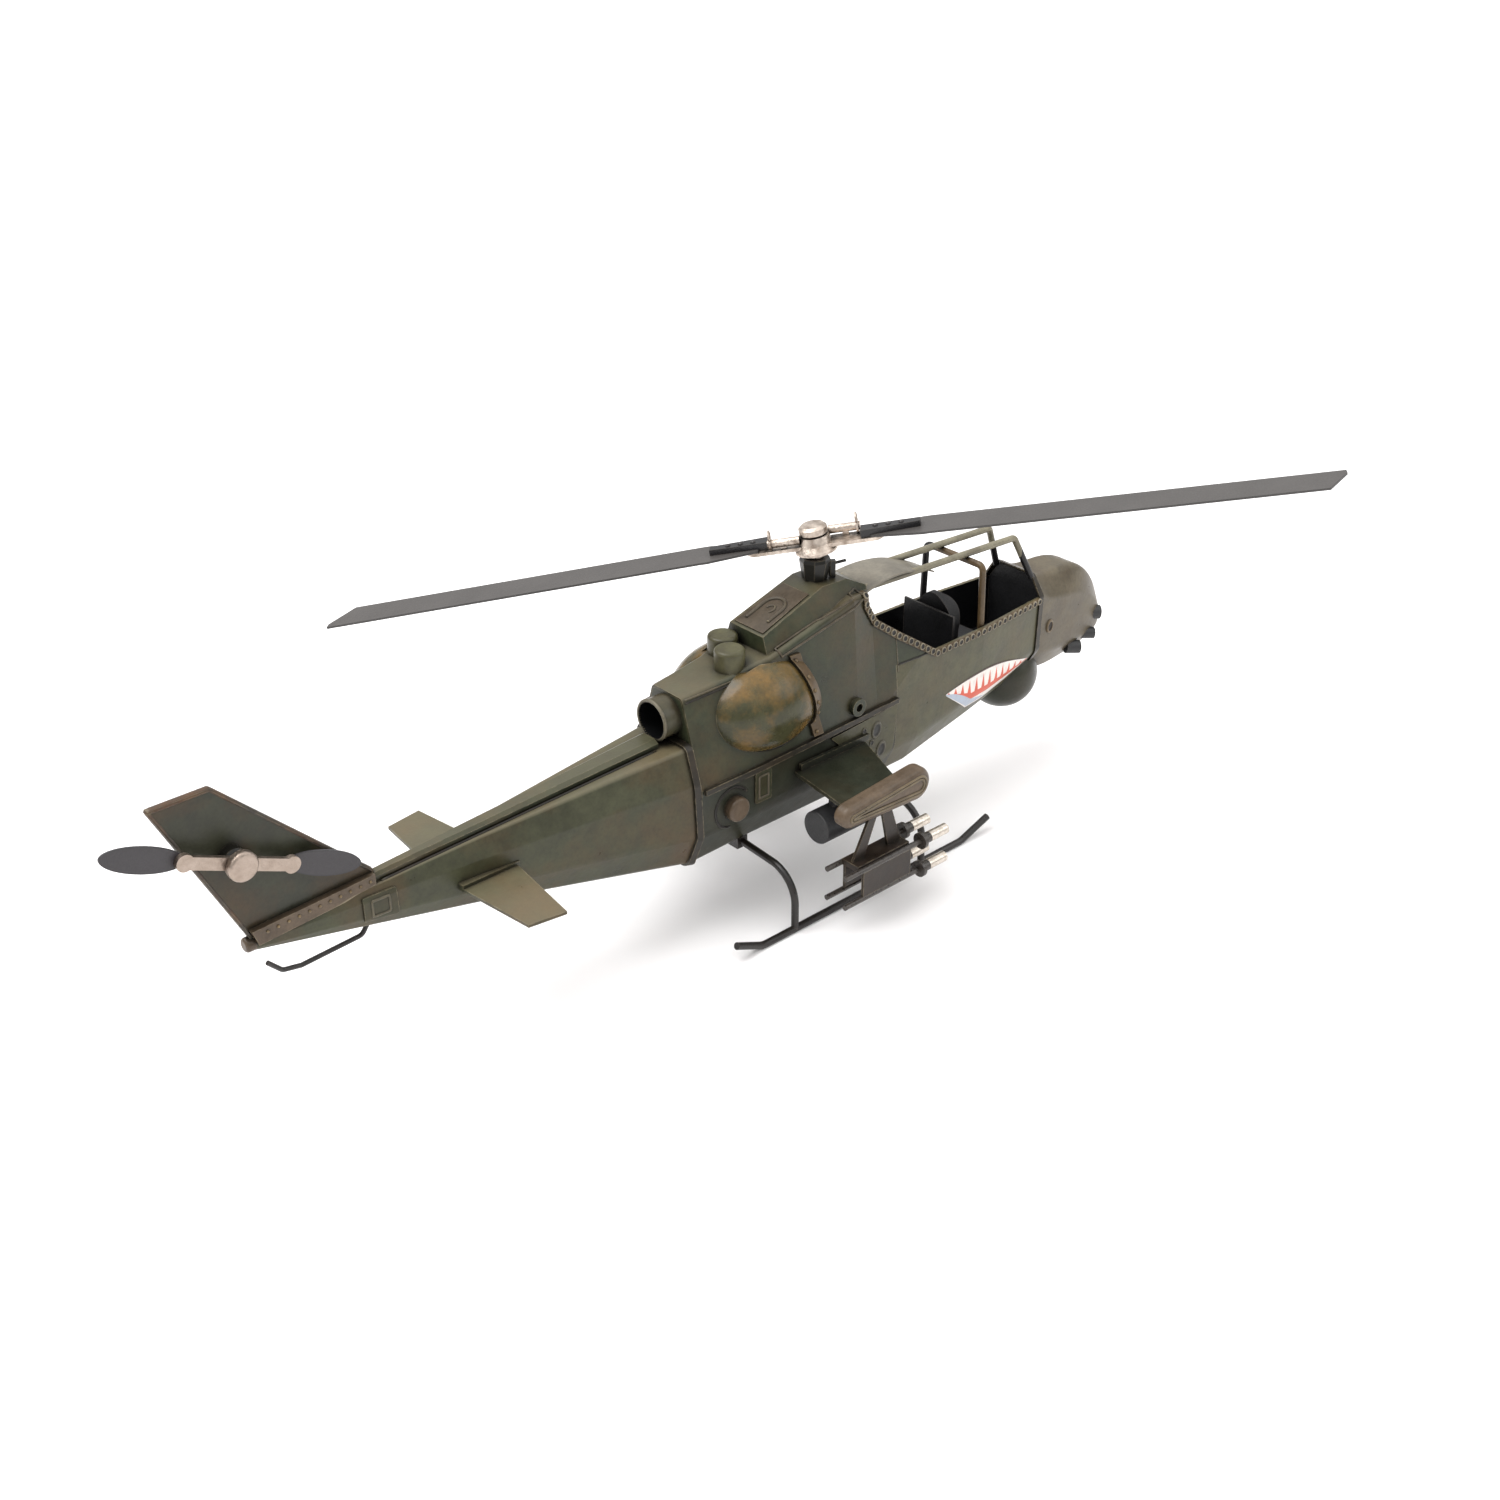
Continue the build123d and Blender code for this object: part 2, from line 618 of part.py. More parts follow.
washer_outer = 3.7
washer_inner = 1.7
with BuildPart() as starboard_washer:
    with BuildSketch(Plane.XZ.offset(side_half_width - 5)):
        with Locations((bay_x - 23, seam_z + 7.5)):
            Circle(washer_outer)
            Circle(washer_inner, mode=Mode.SUBTRACT)
    extrude(amount=6.2)
    add(fuselage, mode=Mode.SUBTRACT)

with BuildPart() as side_washers:
    add(both_sides(starboard_washer.part))
save(side_washers, "side_washers")

side_plug_radius = 5.0
with BuildPart() as starboard_plug:
    with BuildSketch(Plane.XZ.offset(side_half_width - 5)):
        with Locations((joint_x + 15.5, belly_z + 22)):
            Circle(side_plug_radius)
    extrude(amount=8.5)
    fillet(edges().group_by(Axis.Y)[0], 1.3)
    add(fuselage, mode=Mode.SUBTRACT)

with BuildPart() as side_plugs:
    add(both_sides(starboard_plug.part))
save(side_plugs, "side_plugs")

frame_low = (joint_x + 0.245 * bay_length, belly_z + 19.5)
frame_size = (8.5, 13.5)
frame_corners = [frame_low, (frame_low[0] + frame_size[0], frame_low[1]),
                 (frame_low[0] + frame_size[0], frame_low[1] + frame_size[1]),
                 (frame_low[0], frame_low[1] + frame_size[1])]
boom_plate_x = joint_x - boom_length * 0.782
with BuildPart() as boom_plate:
    add(hull(boom_stations(), grow=trim_proud))
    add(boom, mode=Mode.SUBTRACT)
    add(side_slab([(boom_plate_x, 61.5), (boom_plate_x + 13, 60.5), (boom_plate_x + 13, 71),
                   (boom_plate_x, 71)],
                  radius=0.8, y_low=-60, y_high=-2), mode=Mode.INTERSECT)

with BuildPart() as access_plates:
    add(both_sides(side_strip(frame_corners, radius=0.8)))
    add(both_sides(boom_plate.part))
save(access_plates, "access_plates")

# ---------------------------------------------------------------- sill trim and canopy frame
trim_width = 3.0
trim_run = [(opening_x, shoulder_z - 0.8)] + sill_line[1:6]
trim_below = [(opening_x - trim_width, shoulder_z - 0.8), (opening_x - trim_width, shoulder_z - 6.2),
              (opening_x + 2.0, shoulder_z - 15.2), (bay_x + 1.8, sill_z + 10.6),
              (bay_x + 22.2, sill_z - trim_width),
              (band_x - band_width, sill_z - trim_width)]
trim_end = (band_x - band_width, sill_z)
with BuildPart() as sill_trims:
    add(both_sides(side_strip(trim_run[:-1] + [trim_end] + trim_below[::-1])))
    add(cowl.part, mode=Mode.SUBTRACT)
save(sill_trims, "sill_trims")

hoop_top_z = 108.0
hoop_half_width = 15.9
rail_y = 7.0
rail_slope = 0.0505
rail_over_hoop = hoop_top_z + 2 * canopy_rod_radius - 0.1
rail_rear = (bulkhead_x, rail_y, rail_over_hoop + rail_slope * (hoop_x - bulkhead_x))
rail_front = (band_x - 12, rail_y, rail_over_hoop - rail_slope * (band_x - 12 - hoop_x))
hoop_foot = sill_half_width - sheet - canopy_rod_radius - 0.2
with BuildPart() as canopy_hoop:
    add(rod([(hoop_x, -hoop_foot, sill_z - 4), (hoop_x, -hoop_half_width, hoop_top_z),
             (hoop_x, hoop_half_width, hoop_top_z), (hoop_x, hoop_foot,
                                                     sill_z - 4)], canopy_rod_radius, 2.5))
    add(cockpit_hull.part, mode=Mode.SUBTRACT)
save(canopy_hoop, "canopy_hoop")

post_foot = (band_x - 2.2, 10.0, sill_z + 7.4)
with BuildPart() as starboard_rail:
    add(rod([(x, -y, z) for x, y, z in (rail_rear, rail_front, post_foot)], canopy_rod_radius, 2.5))
    for neighbour in (canopy_hoop, roof_panel, cockpit_bulkhead, cockpit_floor, cockpit_hull,
                      engine_casing, nose_band):
        add(neighbour.part, mode=Mode.SUBTRACT)

with BuildPart() as canopy_rails:
    add(both_sides(starboard_rail.part))
save(canopy_rails, "canopy_rails")

# ---------------------------------------------------------------- stub wings and stores
wing_thickness = 1.6
wing_front_x = bay_x - 15.0
wing_rear_x = bay_x - 56.0
wing_tip_y = wing_half_span - 5.0
with BuildPart() as starboard_wing:
    with BuildSketch(Plane.XY.offset(wing_z)):
        with BuildLine():
            Polyline((wing_front_x, -10), (wing_front_x - 17.5, -wing_tip_y),
                     (wing_rear_x - 6, -wing_tip_y),
                     (wing_rear_x, -10), close=True)
        make_face()
    extrude(amount=-wing_thickness)
    add(block((wing_rear_x + 0.5, wing_front_x - 3), (-side_half_width - 2.2, -10),
              (wing_z, wing_z + 2.8)))
    add(hull(fuselage_stations(), grow=trim_proud), mode=Mode.SUBTRACT)

with BuildPart() as stub_wings:
    add(both_sides(starboard_wing.part))
save(stub_wings, "stub_wings")

fairing_front_radius = 7.0
fairing_rear_radius = 4.6
fairing_front_x = wing_front_x - 14.5
fairing_rear_x = wing_rear_x - 9.0
fairing_half_thickness = 3.4
with BuildPart() as starboard_fairing:
    with BuildSketch(Plane.XZ.offset(wing_half_span - fairing_half_thickness)):
        with Locations((fairing_front_x, wing_z)):
            Circle(fairing_front_radius)
        with Locations((fairing_rear_x, wing_z - 0.6)):
            Circle(fairing_rear_radius)
        make_hull()
    extrude(amount=2 * fairing_half_thickness)
    fillet(edges().group_by(Axis.Y)[0], 2.6)
    fillet(edges().group_by(Axis.Y)[-1], 1.2)
    add(starboard_wing.part, mode=Mode.SUBTRACT)

with BuildPart() as wingtip_fairings:
    add(both_sides(starboard_fairing.part))
save(wingtip_fairings, "wingtip_fairings")

pod_radius = 6.8
pod_y = 39.0
pod_z = 40.0
pod_rear_x = wing_rear_x - 7.0
pod_length = 40.0
with BuildPart() as starboard_pod:
    with BuildSketch(Plane(origin=(pod_rear_x, -pod_y, pod_z), x_dir=(0, 1, 0), z_dir=(1, 0, 0))):
        Circle(pod_radius)
    extrude(amount=pod_length)
    fillet(edges().group_by(Axis.X)[-1], 4.5)
    fillet(edges().group_by(Axis.X)[0], 0.6)
    add(block((pod_rear_x + 8, pod_rear_x + 30), (-pod_y - 1.4, -pod_y + 1.4),
              (pod_z, wing_z - wing_thickness)))

with BuildPart() as rocket_pods:
    add(both_sides(starboard_pod.part))
save(rocket_pods, "rocket_pods")

tube_columns = (wing_half_span - 5.0, wing_half_span + 5.0)
tube_rows = (31.0, 18.0)
tube_disc_x = mast_x - 1.5
tube_rod_radius = 1.1
leg_thickness = 1.2
with BuildPart() as starboard_rack:
    legs = [[(fairing_rear_x + 12, wing_z - 5), (fairing_rear_x + 16, wing_z - 5), (fairing_rear_x + 9, 33),
             (fairing_rear_x + 3, 33)],
            [(fairing_rear_x + 18, wing_z - 5), (fairing_rear_x + 23, wing_z - 5),
             (fairing_rear_x + 29, 33),
             (fairing_rear_x + 22, 33)]]
    for leg in legs:
        add(side_slab(leg, y_low=-wing_half_span - leg_thickness / 2,
                      y_high=-wing_half_span + leg_thickness / 2))
    add(block((fairing_rear_x + 2, fairing_rear_x + 30), (-tube_columns[1] + 0.6, -tube_columns[0] - 0.6),
              (30.4, 33.0)))
    for column in tube_columns:
        add(block((fairing_rear_x + 4, fairing_rear_x + 30), (-column - 0.6, -column + 0.6),
                  (tube_rows[1] + 0.8, tube_rows[0] - 0.8)))
    for column in tube_columns:
        for row in tube_rows:
            add(round_bar((tube_disc_x - 20, -column, row), (0, 90, 0), tube_rod_radius, 80),
                mode=Mode.SUBTRACT)
    add(starboard_fairing.part, mode=Mode.SUBTRACT)

with BuildPart() as launcher_racks:
    add(both_sides(starboard_rack.part))
save(launcher_racks, "launcher_racks")

disc_radius = 3.4
front_tube_radius = 2.2
with BuildPart() as starboard_tubes:
    for column in tube_columns:
        for row in tube_rows:
            for start, length, radius in ((tube_disc_x - 41, 41.0, tube_rod_radius),
                                          (tube_disc_x, 1.6, disc_radius),
                                          (tube_disc_x + 1.6, 13.0, front_tube_radius)):
                with BuildSketch(Plane(origin=(start, -column, row), x_dir=(0, 1, 0), z_dir=(1, 0, 0))):
                    Circle(radius)
                extrude(amount=length)

with BuildPart() as launcher_tubes:
    add(both_sides(starboard_tubes.part))
save(launcher_tubes, "launcher_tubes")

# ---------------------------------------------------------------- landing gear
skid_y = skid_track / 2
skid_z = skid_rod_radius - skid_flat
skid_rear_x = joint_x + 10.0
skid_front_x = bay_x + 19.0
with BuildPart() as starboard_skid:
    add(rod([(skid_rear_x - 13.5, -skid_y, skid_z + 6.0), (skid_rear_x, -skid_y, skid_z),
             (skid_front_x, -skid_y, skid_z), (skid_front_x + 16, -skid_y,
                                               skid_z + 5.5)], skid_rod_radius, 9.0))
    add(block((-300, 300), (-100, 100), (-10, 0)), mode=Mode.SUBTRACT)

with BuildPart() as skids:
    add(both_sides(starboard_skid.part))
save(skids, "skids")

saddle_roof = 0.7
saddle_z = belly_z - cross_tube_radius - saddle_roof
cross_tube_rear_x = joint_x + 27.0
cross_tube_front_x = bay_x - 5.5
with BuildPart() as cross_tubes:
    for x in (cross_tube_rear_x, cross_tube_front_x):
        add(rod([(x, -skid_y, skid_z), (x, -skid_y, saddle_z - 2), (x, -13, saddle_z), (x, 13, saddle_z),
                 (x, skid_y, saddle_z - 2), (x, skid_y, skid_z)], cross_tube_radius, [14.0, 4.0, 4.0,
                                                                                      14.0]))
    add(skids.part, mode=Mode.SUBTRACT)
    add(fuselage, mode=Mode.SUBTRACT)
save(cross_tubes, "cross_tubes")

saddle_half_width = 2.6
saddle_depth = 4.8
with BuildPart() as skid_saddles:
    for x in (cross_tube_rear_x, cross_tube_front_x):
        for y in (-9.0, 9.0):
            add(block((x - saddle_half_width, x + saddle_half_width), (y - 3, y + 3),
                      (belly_z - saddle_depth, belly_z)))
        add(round_bar((x, 0, saddle_z), (90, 0, 0), cross_tube_radius, 30), mode=Mode.SUBTRACT)
    add(fuselage, mode=Mode.SUBTRACT)
save(skid_saddles, "skid_saddles")

# ---------------------------------------------------------------- mast, fixed part
bush_low_z = shoulder_z - 5.0
bush_top_z = cowl_top_z + 9.0
collar_low_radius = 5.0
collar_top_radius = 6.2
with BuildPart() as mast_collar:
    for z, radius in ((cowl_top_z, collar_low_radius), (bush_top_z - 1.5, collar_top_radius),
                      (bush_top_z, collar_top_radius - 0.5)):
        with BuildSketch(Plane.XY.offset(z)):
            with Locations((mast_x, 0)):
                RegularPolygon(radius, 8)
    loft(ruled=True)
    with Locations((mast_x, 0, bush_top_z - 5)):
        Cylinder(bush_radius, 30, mode=Mode.SUBTRACT)
    add(cowl.part, mode=Mode.SUBTRACT)
save(mast_collar, "mast_collar")

with BuildPart() as mast_bush:
    with BuildSketch(Plane.XY.offset(bush_low_z)):
        with Locations((mast_x, 0)):
            Circle(bush_radius)
            Circle(mast_radius + running_gap, mode=Mode.SUBTRACT)
    extrude(amount=bush_top_z - bush_low_z)
save(mast_bush, "mast_bush")

link_z = bush_top_z - 4.5
with BuildPart() as pitch_link:
    with Locations(Location((mast_x, 0, link_z), (0, 0, -35))):
        with Locations((collar_top_radius + 0.6, 0, -1.0)):
            Box(2.6, 2.0, 7.0)
        with Locations(Location((collar_top_radius + 3.6, 0, 1.6), (0, 78, 0))):
            Cylinder(0.6, 5.0)
    with BuildSketch(Plane.XY.offset(cowl_top_z)) as collar_foot:
        with Locations((mast_x, 0)):
            RegularPolygon(collar_top_radius, 8)
    extrude(amount=bush_top_z - cowl_top_z, mode=Mode.SUBTRACT)
save(pitch_link, "pitch_link")

# ---------------------------------------------------------------- mast shaft and teetering head
heading = math.radians(rotor_heading)
teeter = math.radians(teeter_limit)
level = Plane(origin=(mast_x, 0, hub_z), x_dir=(math.cos(heading), math.sin(heading), 0), z_dir=(0, 0, 1))
head = Plane(origin=(mast_x, 0, hub_z),
             x_dir=(math.cos(heading) * math.cos(teeter), math.sin(heading) * math.cos(teeter),
                    math.sin(teeter)),
             z_dir=(-math.cos(heading) * math.sin(teeter), -math.sin(heading) * math.sin(teeter),
                    math.cos(teeter)))
shaft_low_z = bush_low_z - 4.0
head_radius = 2.4
head_half_length = 2.3
retainer_height = 1.4
axial_play = 0.3
with BuildPart() as mast_shaft:
    with BuildSketch(Plane.XY.offset(shaft_low_z)):
        with Locations((mast_x, 0)):
            Circle(mast_radius)
    extrude(amount=hub_z - shaft_low_z)
    for z in (bush_low_z - axial_play - retainer_height, bush_top_z + axial_play):
        with BuildSketch(Plane.XY.offset(z)):
            with Locations((mast_x, 0)):
                Circle(mast_radius + 1.5)
        extrude(amount=retainer_height)
    across = Plane(origin=level.origin, x_dir=level.x_dir, z_dir=level.y_dir)
    with BuildSketch(across.offset(-head_half_length)):
        Circle(head_radius)
    extrude(amount=2 * head_half_length)
    with BuildSketch(across.offset(-20)):
        Circle(teeter_pin_radius + running_gap)
    extrude(amount=40, mode=Mode.SUBTRACT)
save(mast_shaft, "mast_shaft")

flange_low_radius = 8.3
flange_top_radius = 5.8
flange_low = -3.2
flange_top = 3.3
flange_bore = 3.8
head_side = Plane(origin=head.origin, x_dir=head.x_dir, z_dir=-head.y_dir)
pin_half_length = 6.0


def head_revolve(points):
    """Solid of revolution about the rotor head's own axis from a (radius, height) outline."""
    with BuildPart() as turned:
        with BuildSketch(head_side):
            with BuildLine():
                Polyline(*points, close=True)
            make_face()
        revolve(axis=Axis(head.origin, head.z_dir))
    return turned.part


flange_outer = head_revolve([(0, flange_low), (flange_low_radius, flange_low),
                             (flange_low_radius, flange_low + 0.9),
                             (flange_top_radius + 0.8, 0.2), (flange_top_radius, flange_top), (0,
                                                                                               flange_top)])
with BuildPart() as pin_space:
    with BuildSketch(Plane(origin=head.origin, x_dir=head.x_dir,
                           z_dir=head.y_dir).offset(-pin_half_length)):
        Circle(teeter_pin_radius)
    extrude(amount=2 * pin_half_length)
save(pin_space, "teeter_pin")

with BuildPart() as hub_flange:
    add(flange_outer)
    add(head_revolve([(0, flange_low), (flange_bore, flange_low), (flange_bore, flange_top - 0.8),
                      (0, flange_top - 0.8)]), mode=Mode.SUBTRACT)
    add(pin_space.part, mode=Mode.SUBTRACT)
save(hub_flange, "hub_flange")

cap_half = 5.6
cap_dome = 4.4
with BuildPart() as hub_cap:
    add(head_revolve([(0, flange_top), (cap_half - 0.8, flange_top), (cap_half, flange_top + 0.8),
                      (cap_half, flange_top + 3.0), (cap_half - 1.1, flange_top + 4.0), (0,
                                                                                         flange_top + cap_dome)]))
save(hub_cap, "hub_cap")

yoke_reach = 27.0
yoke_half_width = 4.4
yoke_top = 0.2
yoke_thickness = 1.4
with BuildPart() as yoke_plates:
    with BuildSketch(head.offset(yoke_top - yoke_thickness)):
        SlotOverall(2 * yoke_reach, 2 * yoke_half_width)
    extrude(amount=yoke_thickness)
    add(flange_outer, mode=Mode.SUBTRACT)
save(yoke_plates, "yoke_plates")

blade_start_r = 22.0
blade_root_chord = 8.0
tip_cut = 8.0
root_full_r = 42.0


def blade(toward):
    """Flat blade along toward.x_dir, bent down at its root and clipped at its tip."""
    side_view = Plane(origin=toward.origin, x_dir=toward.x_dir, z_dir=-toward.y_dir)
    drop = (rotor_radius - blade_bend_r) * math.tan(math.radians(blade_droop))
    bottom = [(blade_start_r, yoke_top), (blade_bend_r, yoke_top), (rotor_radius, yoke_top - drop)]
    top = [(r, z + blade_thickness) for r, z in reversed(bottom)]
    with BuildPart() as sheet_blade:
        with BuildSketch(side_view.offset(-blade_chord)):
            with BuildLine():
                Polyline(*bottom, *top, close=True)
            make_face()
        extrude(amount=2 * blade_chord)
        half = blade_chord / 2
        with BuildSketch(toward.offset(-20)):
            with BuildLine():
                Polyline((blade_start_r, -blade_root_chord / 2), (root_full_r, -half),
                         (rotor_radius - tip_cut, -half),
                         (rotor_radius, half - 3), (rotor_radius, half), (root_full_r, half),
                         (blade_start_r, blade_root_chord / 2), close=True)
            make_face()
        extrude(amount=40, mode=Mode.INTERSECT)
    return sheet_blade


blade_planes = {"main_blade_front": head, "main_blade_rear": Plane(origin=head.origin, x_dir=-head.x_dir,
                                                                   z_dir=head.z_dir)}
blades = {name: blade(toward) for name, toward in blade_planes.items()}
for name, piece in blades.items():
    save(piece, name)

grip_start_r = 18.2
grip_end_r = 41.3
grip_half_width = 2.1
grip_top = 3.4
brace_radius = 1.7
brace_height = 2.9
brace_y = 3.3
brace_start_r = 5.4
with BuildPart() as blade_grips:
    for toward in blade_planes.values():
        with BuildSketch(toward.offset(yoke_top)):
            with BuildLine():
                Polyline((grip_start_r, -grip_half_width - 1.5), (grip_end_r, -grip_half_width + 0.6),
                         (grip_end_r, grip_half_width), (grip_start_r, grip_half_width), close=True)
            make_face()
        extrude(amount=grip_top - yoke_top)
    for piece in blades.values():
        add(piece.part, mode=Mode.SUBTRACT)
save(blade_grips, "blade_grips")

with BuildPart() as drag_braces:
    for toward in blade_planes.values():
        start = toward.origin + toward.x_dir * brace_start_r + toward.y_dir * brace_y + toward.z_dir * brace_height
        along = Plane(origin=start, x_dir=toward.y_dir, z_dir=toward.x_dir)
        with BuildSketch(along):
            Circle(brace_radius)
        extrude(amount=12.5)
        with BuildSketch(along.offset(11.0)):
            Circle(brace_radius + 0.9)
        extrude(amount=0.9)
        with BuildSketch(toward.offset(yoke_top)):
            with Locations((12.0, brace_y - 0.6)):
                Rectangle(2.4, 1.6)
        extrude(amount=brace_height - yoke_top)
    add(flange_outer, mode=Mode.SUBTRACT)
    add(hub_cap.part, mode=Mode.SUBTRACT)
save(drag_braces, "drag_braces")

# ---------------------------------------------------------------- tail rotor
fin_face = fin_thickness / 2
boss_radius = 4.2
boss_depth = 4.3
tail_gap = 0.5
tail_plane = Plane(origin=(tail_hub_x, 0, tail_hub_z), x_dir=(-math.cos(tilt), 0, math.sin(tilt)),
                   z_dir=(0, -1, 0))
with BuildPart() as tail_boss:
    with BuildSketch(tail_plane.offset(fin_face)):
        Circle(boss_radius)
        Circle(tail_shaft_radius + running_gap, mode=Mode.SUBTRACT)
    extrude(amount=boss_depth)
    chamfer(edges().group_by(Axis.Y)[0].sort_by(SortBy.LENGTH)[-1], 0.8)
save(tail_boss, "tail_boss")

yoke_back = fin_face + boss_depth + tail_gap
tail_yoke_thickness = 2.0
bar_half_width = 2.2
eye_radius = 3.0
eye_r = 19.5
with BuildPart() as tail_yoke:
    with BuildSketch(tail_plane.offset(yoke_back)):
        Rectangle(2 * eye_r, 2 * bar_half_width)
        with Locations((-eye_r, 0), (eye_r, 0)):
            Circle(eye_radius)
        Circle(tail_shaft_radius, mode=Mode.SUBTRACT)
    extrude(amount=tail_yoke_thickness)
save(tail_yoke, "tail_yoke")

tail_cap_radius = 5.3
tail_cap_depth = 3.0
with BuildPart() as tail_hub_cap:
    with BuildSketch(tail_plane.offset(yoke_back + tail_yoke_thickness)):
        Circle(tail_cap_radius)
    extrude(amount=tail_cap_depth)
    fillet(edges().group_by(Axis.Y)[0], 1.2)
save(tail_hub_cap, "tail_hub_cap")

with BuildPart() as tail_shaft:
    with BuildSketch(tail_plane.offset(-fin_face - 1.9)):
        Circle(tail_shaft_radius)
    extrude(amount=yoke_back + tail_yoke_thickness + fin_face + 1.9)
    with BuildSketch(tail_plane.offset(-fin_face - 1.5)):
        Circle(tail_shaft_radius + 1.4)
    extrude(amount=1.2)
save(tail_shaft, "tail_shaft")

tail_blade_thickness = 0.8
with BuildPart() as tail_blades:
    with BuildSketch(tail_plane.offset(yoke_back - tail_blade_thickness)):
        with Locations((-tail_tip, 0), (tail_tip, 0)):
            Ellipse(tail_blade_half_length, tail_blade_half_width)
    extrude(amount=tail_blade_thickness)
save(tail_blades, "tail_blades")
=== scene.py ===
"""Looks of a handmade tin attack helicopter: aged paint, plated rotor heads, rivets, seams and painted jaws."""
import math

import bpy
import numpy as np
from bpy.props import FloatProperty, FloatVectorProperty, IntProperty, PointerProperty
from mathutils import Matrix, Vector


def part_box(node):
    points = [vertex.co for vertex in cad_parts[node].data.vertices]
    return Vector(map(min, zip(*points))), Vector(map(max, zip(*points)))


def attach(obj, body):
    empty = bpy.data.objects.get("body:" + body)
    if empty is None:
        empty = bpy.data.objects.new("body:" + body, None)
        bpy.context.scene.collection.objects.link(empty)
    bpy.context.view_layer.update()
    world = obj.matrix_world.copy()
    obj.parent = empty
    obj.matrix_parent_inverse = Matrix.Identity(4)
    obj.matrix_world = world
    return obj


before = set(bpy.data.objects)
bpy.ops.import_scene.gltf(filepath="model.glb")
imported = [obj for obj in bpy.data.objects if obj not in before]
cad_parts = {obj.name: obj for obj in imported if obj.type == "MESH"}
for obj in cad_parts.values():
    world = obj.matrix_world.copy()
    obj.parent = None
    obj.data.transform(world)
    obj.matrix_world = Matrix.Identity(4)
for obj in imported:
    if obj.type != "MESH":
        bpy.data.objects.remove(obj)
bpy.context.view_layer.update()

bl_info = {
    "name": "Tin Helicopter Looks",
    "version": (1, 0, 0),
    "blender": (4, 5, 0),
    "location": "3D View > Sidebar > Helicopter",
    "description": "Finishes, rivets, seams and studio for a tin toy helicopter",
    "category": "Object",
}

MM = 0.001
STARBOARD = -1
AIRFRAME = "airframe"
HEAD = "rotor_head"

# Side views (x, z) in mm, as the part's source draws them.
SILL_MIDDLE = [(76.5, 115.6), (76.5, 111.1), (81.3, 102.6), (93.6, 93.5), (113.6, 80.0), (182.6, 80.0)]
FIN_EDGE = [(-144.4, 77.2), (-144.4, 77.9), (-198.0, 131.0), (-219.8, 131.0), (-192.2, 72.0)]
ROOT_STRIP = [(-187.0, 73.6), (-147.5, 75.4)]
STRAP_FOOT, STRAP_LEAN = (47.0, 61.0), 13.5
JAW_REAR, JAW_FRONT, JAW_BULGE = (121.0, 57.5), (180.6, 53.2), 5.4
JAW_FLOOR = [JAW_REAR, (138.5, 44.0), (152.0, 43.5), (166.0, 47.2), JAW_FRONT]
SCOOP_CENTRE, SCOOP_RIM = (26.0, 84.5), (22.0, 15.6)
PLUG_CENTRE, PLUG_RIM = (1.6, 51.6), (8.4, 8.6)
SILL_SEAM, DECK_SEAM = [(92.0, 81.6), (113.0, 81.6)], [(-12.0, 97.0), (27.0, 99.6)]
BAY_EDGE, DECK_EDGE = [(92.0, 93.0), (92.0, 78.5)], [(-12.0, 98.2), (27.0, 100.6)]
STRIP_CORNERS = [(31.0, 106.4), (74.0, 118.0), (76.5, 115.0), (32.0, 103.6), (31.0, 106.4)]

# Each access plate's rear, front, foot and top, and the boom spine's edge seen from above, in mm.
PLATES = ((14.4, 19.2, 51.0, 60.6), (-149.0, -142.4, 63.0, 69.0))
SPINE_EDGE = [(-24.0, -6.0, 0), (-143.0, -2.9, 0)]

# Heights of the open shells' middles, sleeve and lip sizes, and where the coat turns black, in mm.
CASING_MIDDLE, COCKPIT_MIDDLE, PIPE_MIDDLE = 78.0, 72.0, 89.6
SLEEVE_LENGTH = 9.5
LIP_RADIUS = 7.9
BLACK_HOOP_Y, BLACK_POST_X = 9.0, 177.0

# The rotor head at rest: its centre in mm, the blades' heading and tilt, and where clips and bolts sit on it.
HEAD_CENTRE = np.array([63.01, 0.0, 137.5])
HEAD_HEADING, HEAD_TILT = math.radians(-48.0), math.radians(11.0)
CLIP_REACH, BRACE_SIDE, BRACE_TOP = 16.8, 3.3, 2.9 + 1.5
BOLT_REACHES, BOLT_HEIGHT = (24.0, 29.0, 34.0), 3.3

# Camera: focal length on a 36 mm sensor, place in m, pitch and heading in degrees.
LENS, SENSOR = 47.04, 36.0
CAMERA_PLACE, CAMERA_PITCH, CAMERA_HEADING = (-0.426, -0.500, 0.439), 60.6, -42.3


def colour(hex_code):
    """Linear colour of an sRGB hex value."""
    parts = np.array([int(hex_code[i:i + 2], 16) for i in (0, 2, 4)]) / 255.0
    linear = np.where(parts <= 0.04045, parts / 12.92, ((parts + 0.055) / 1.055) ** 2.4)
    return tuple(float(v) for v in linear) + (1.0,)


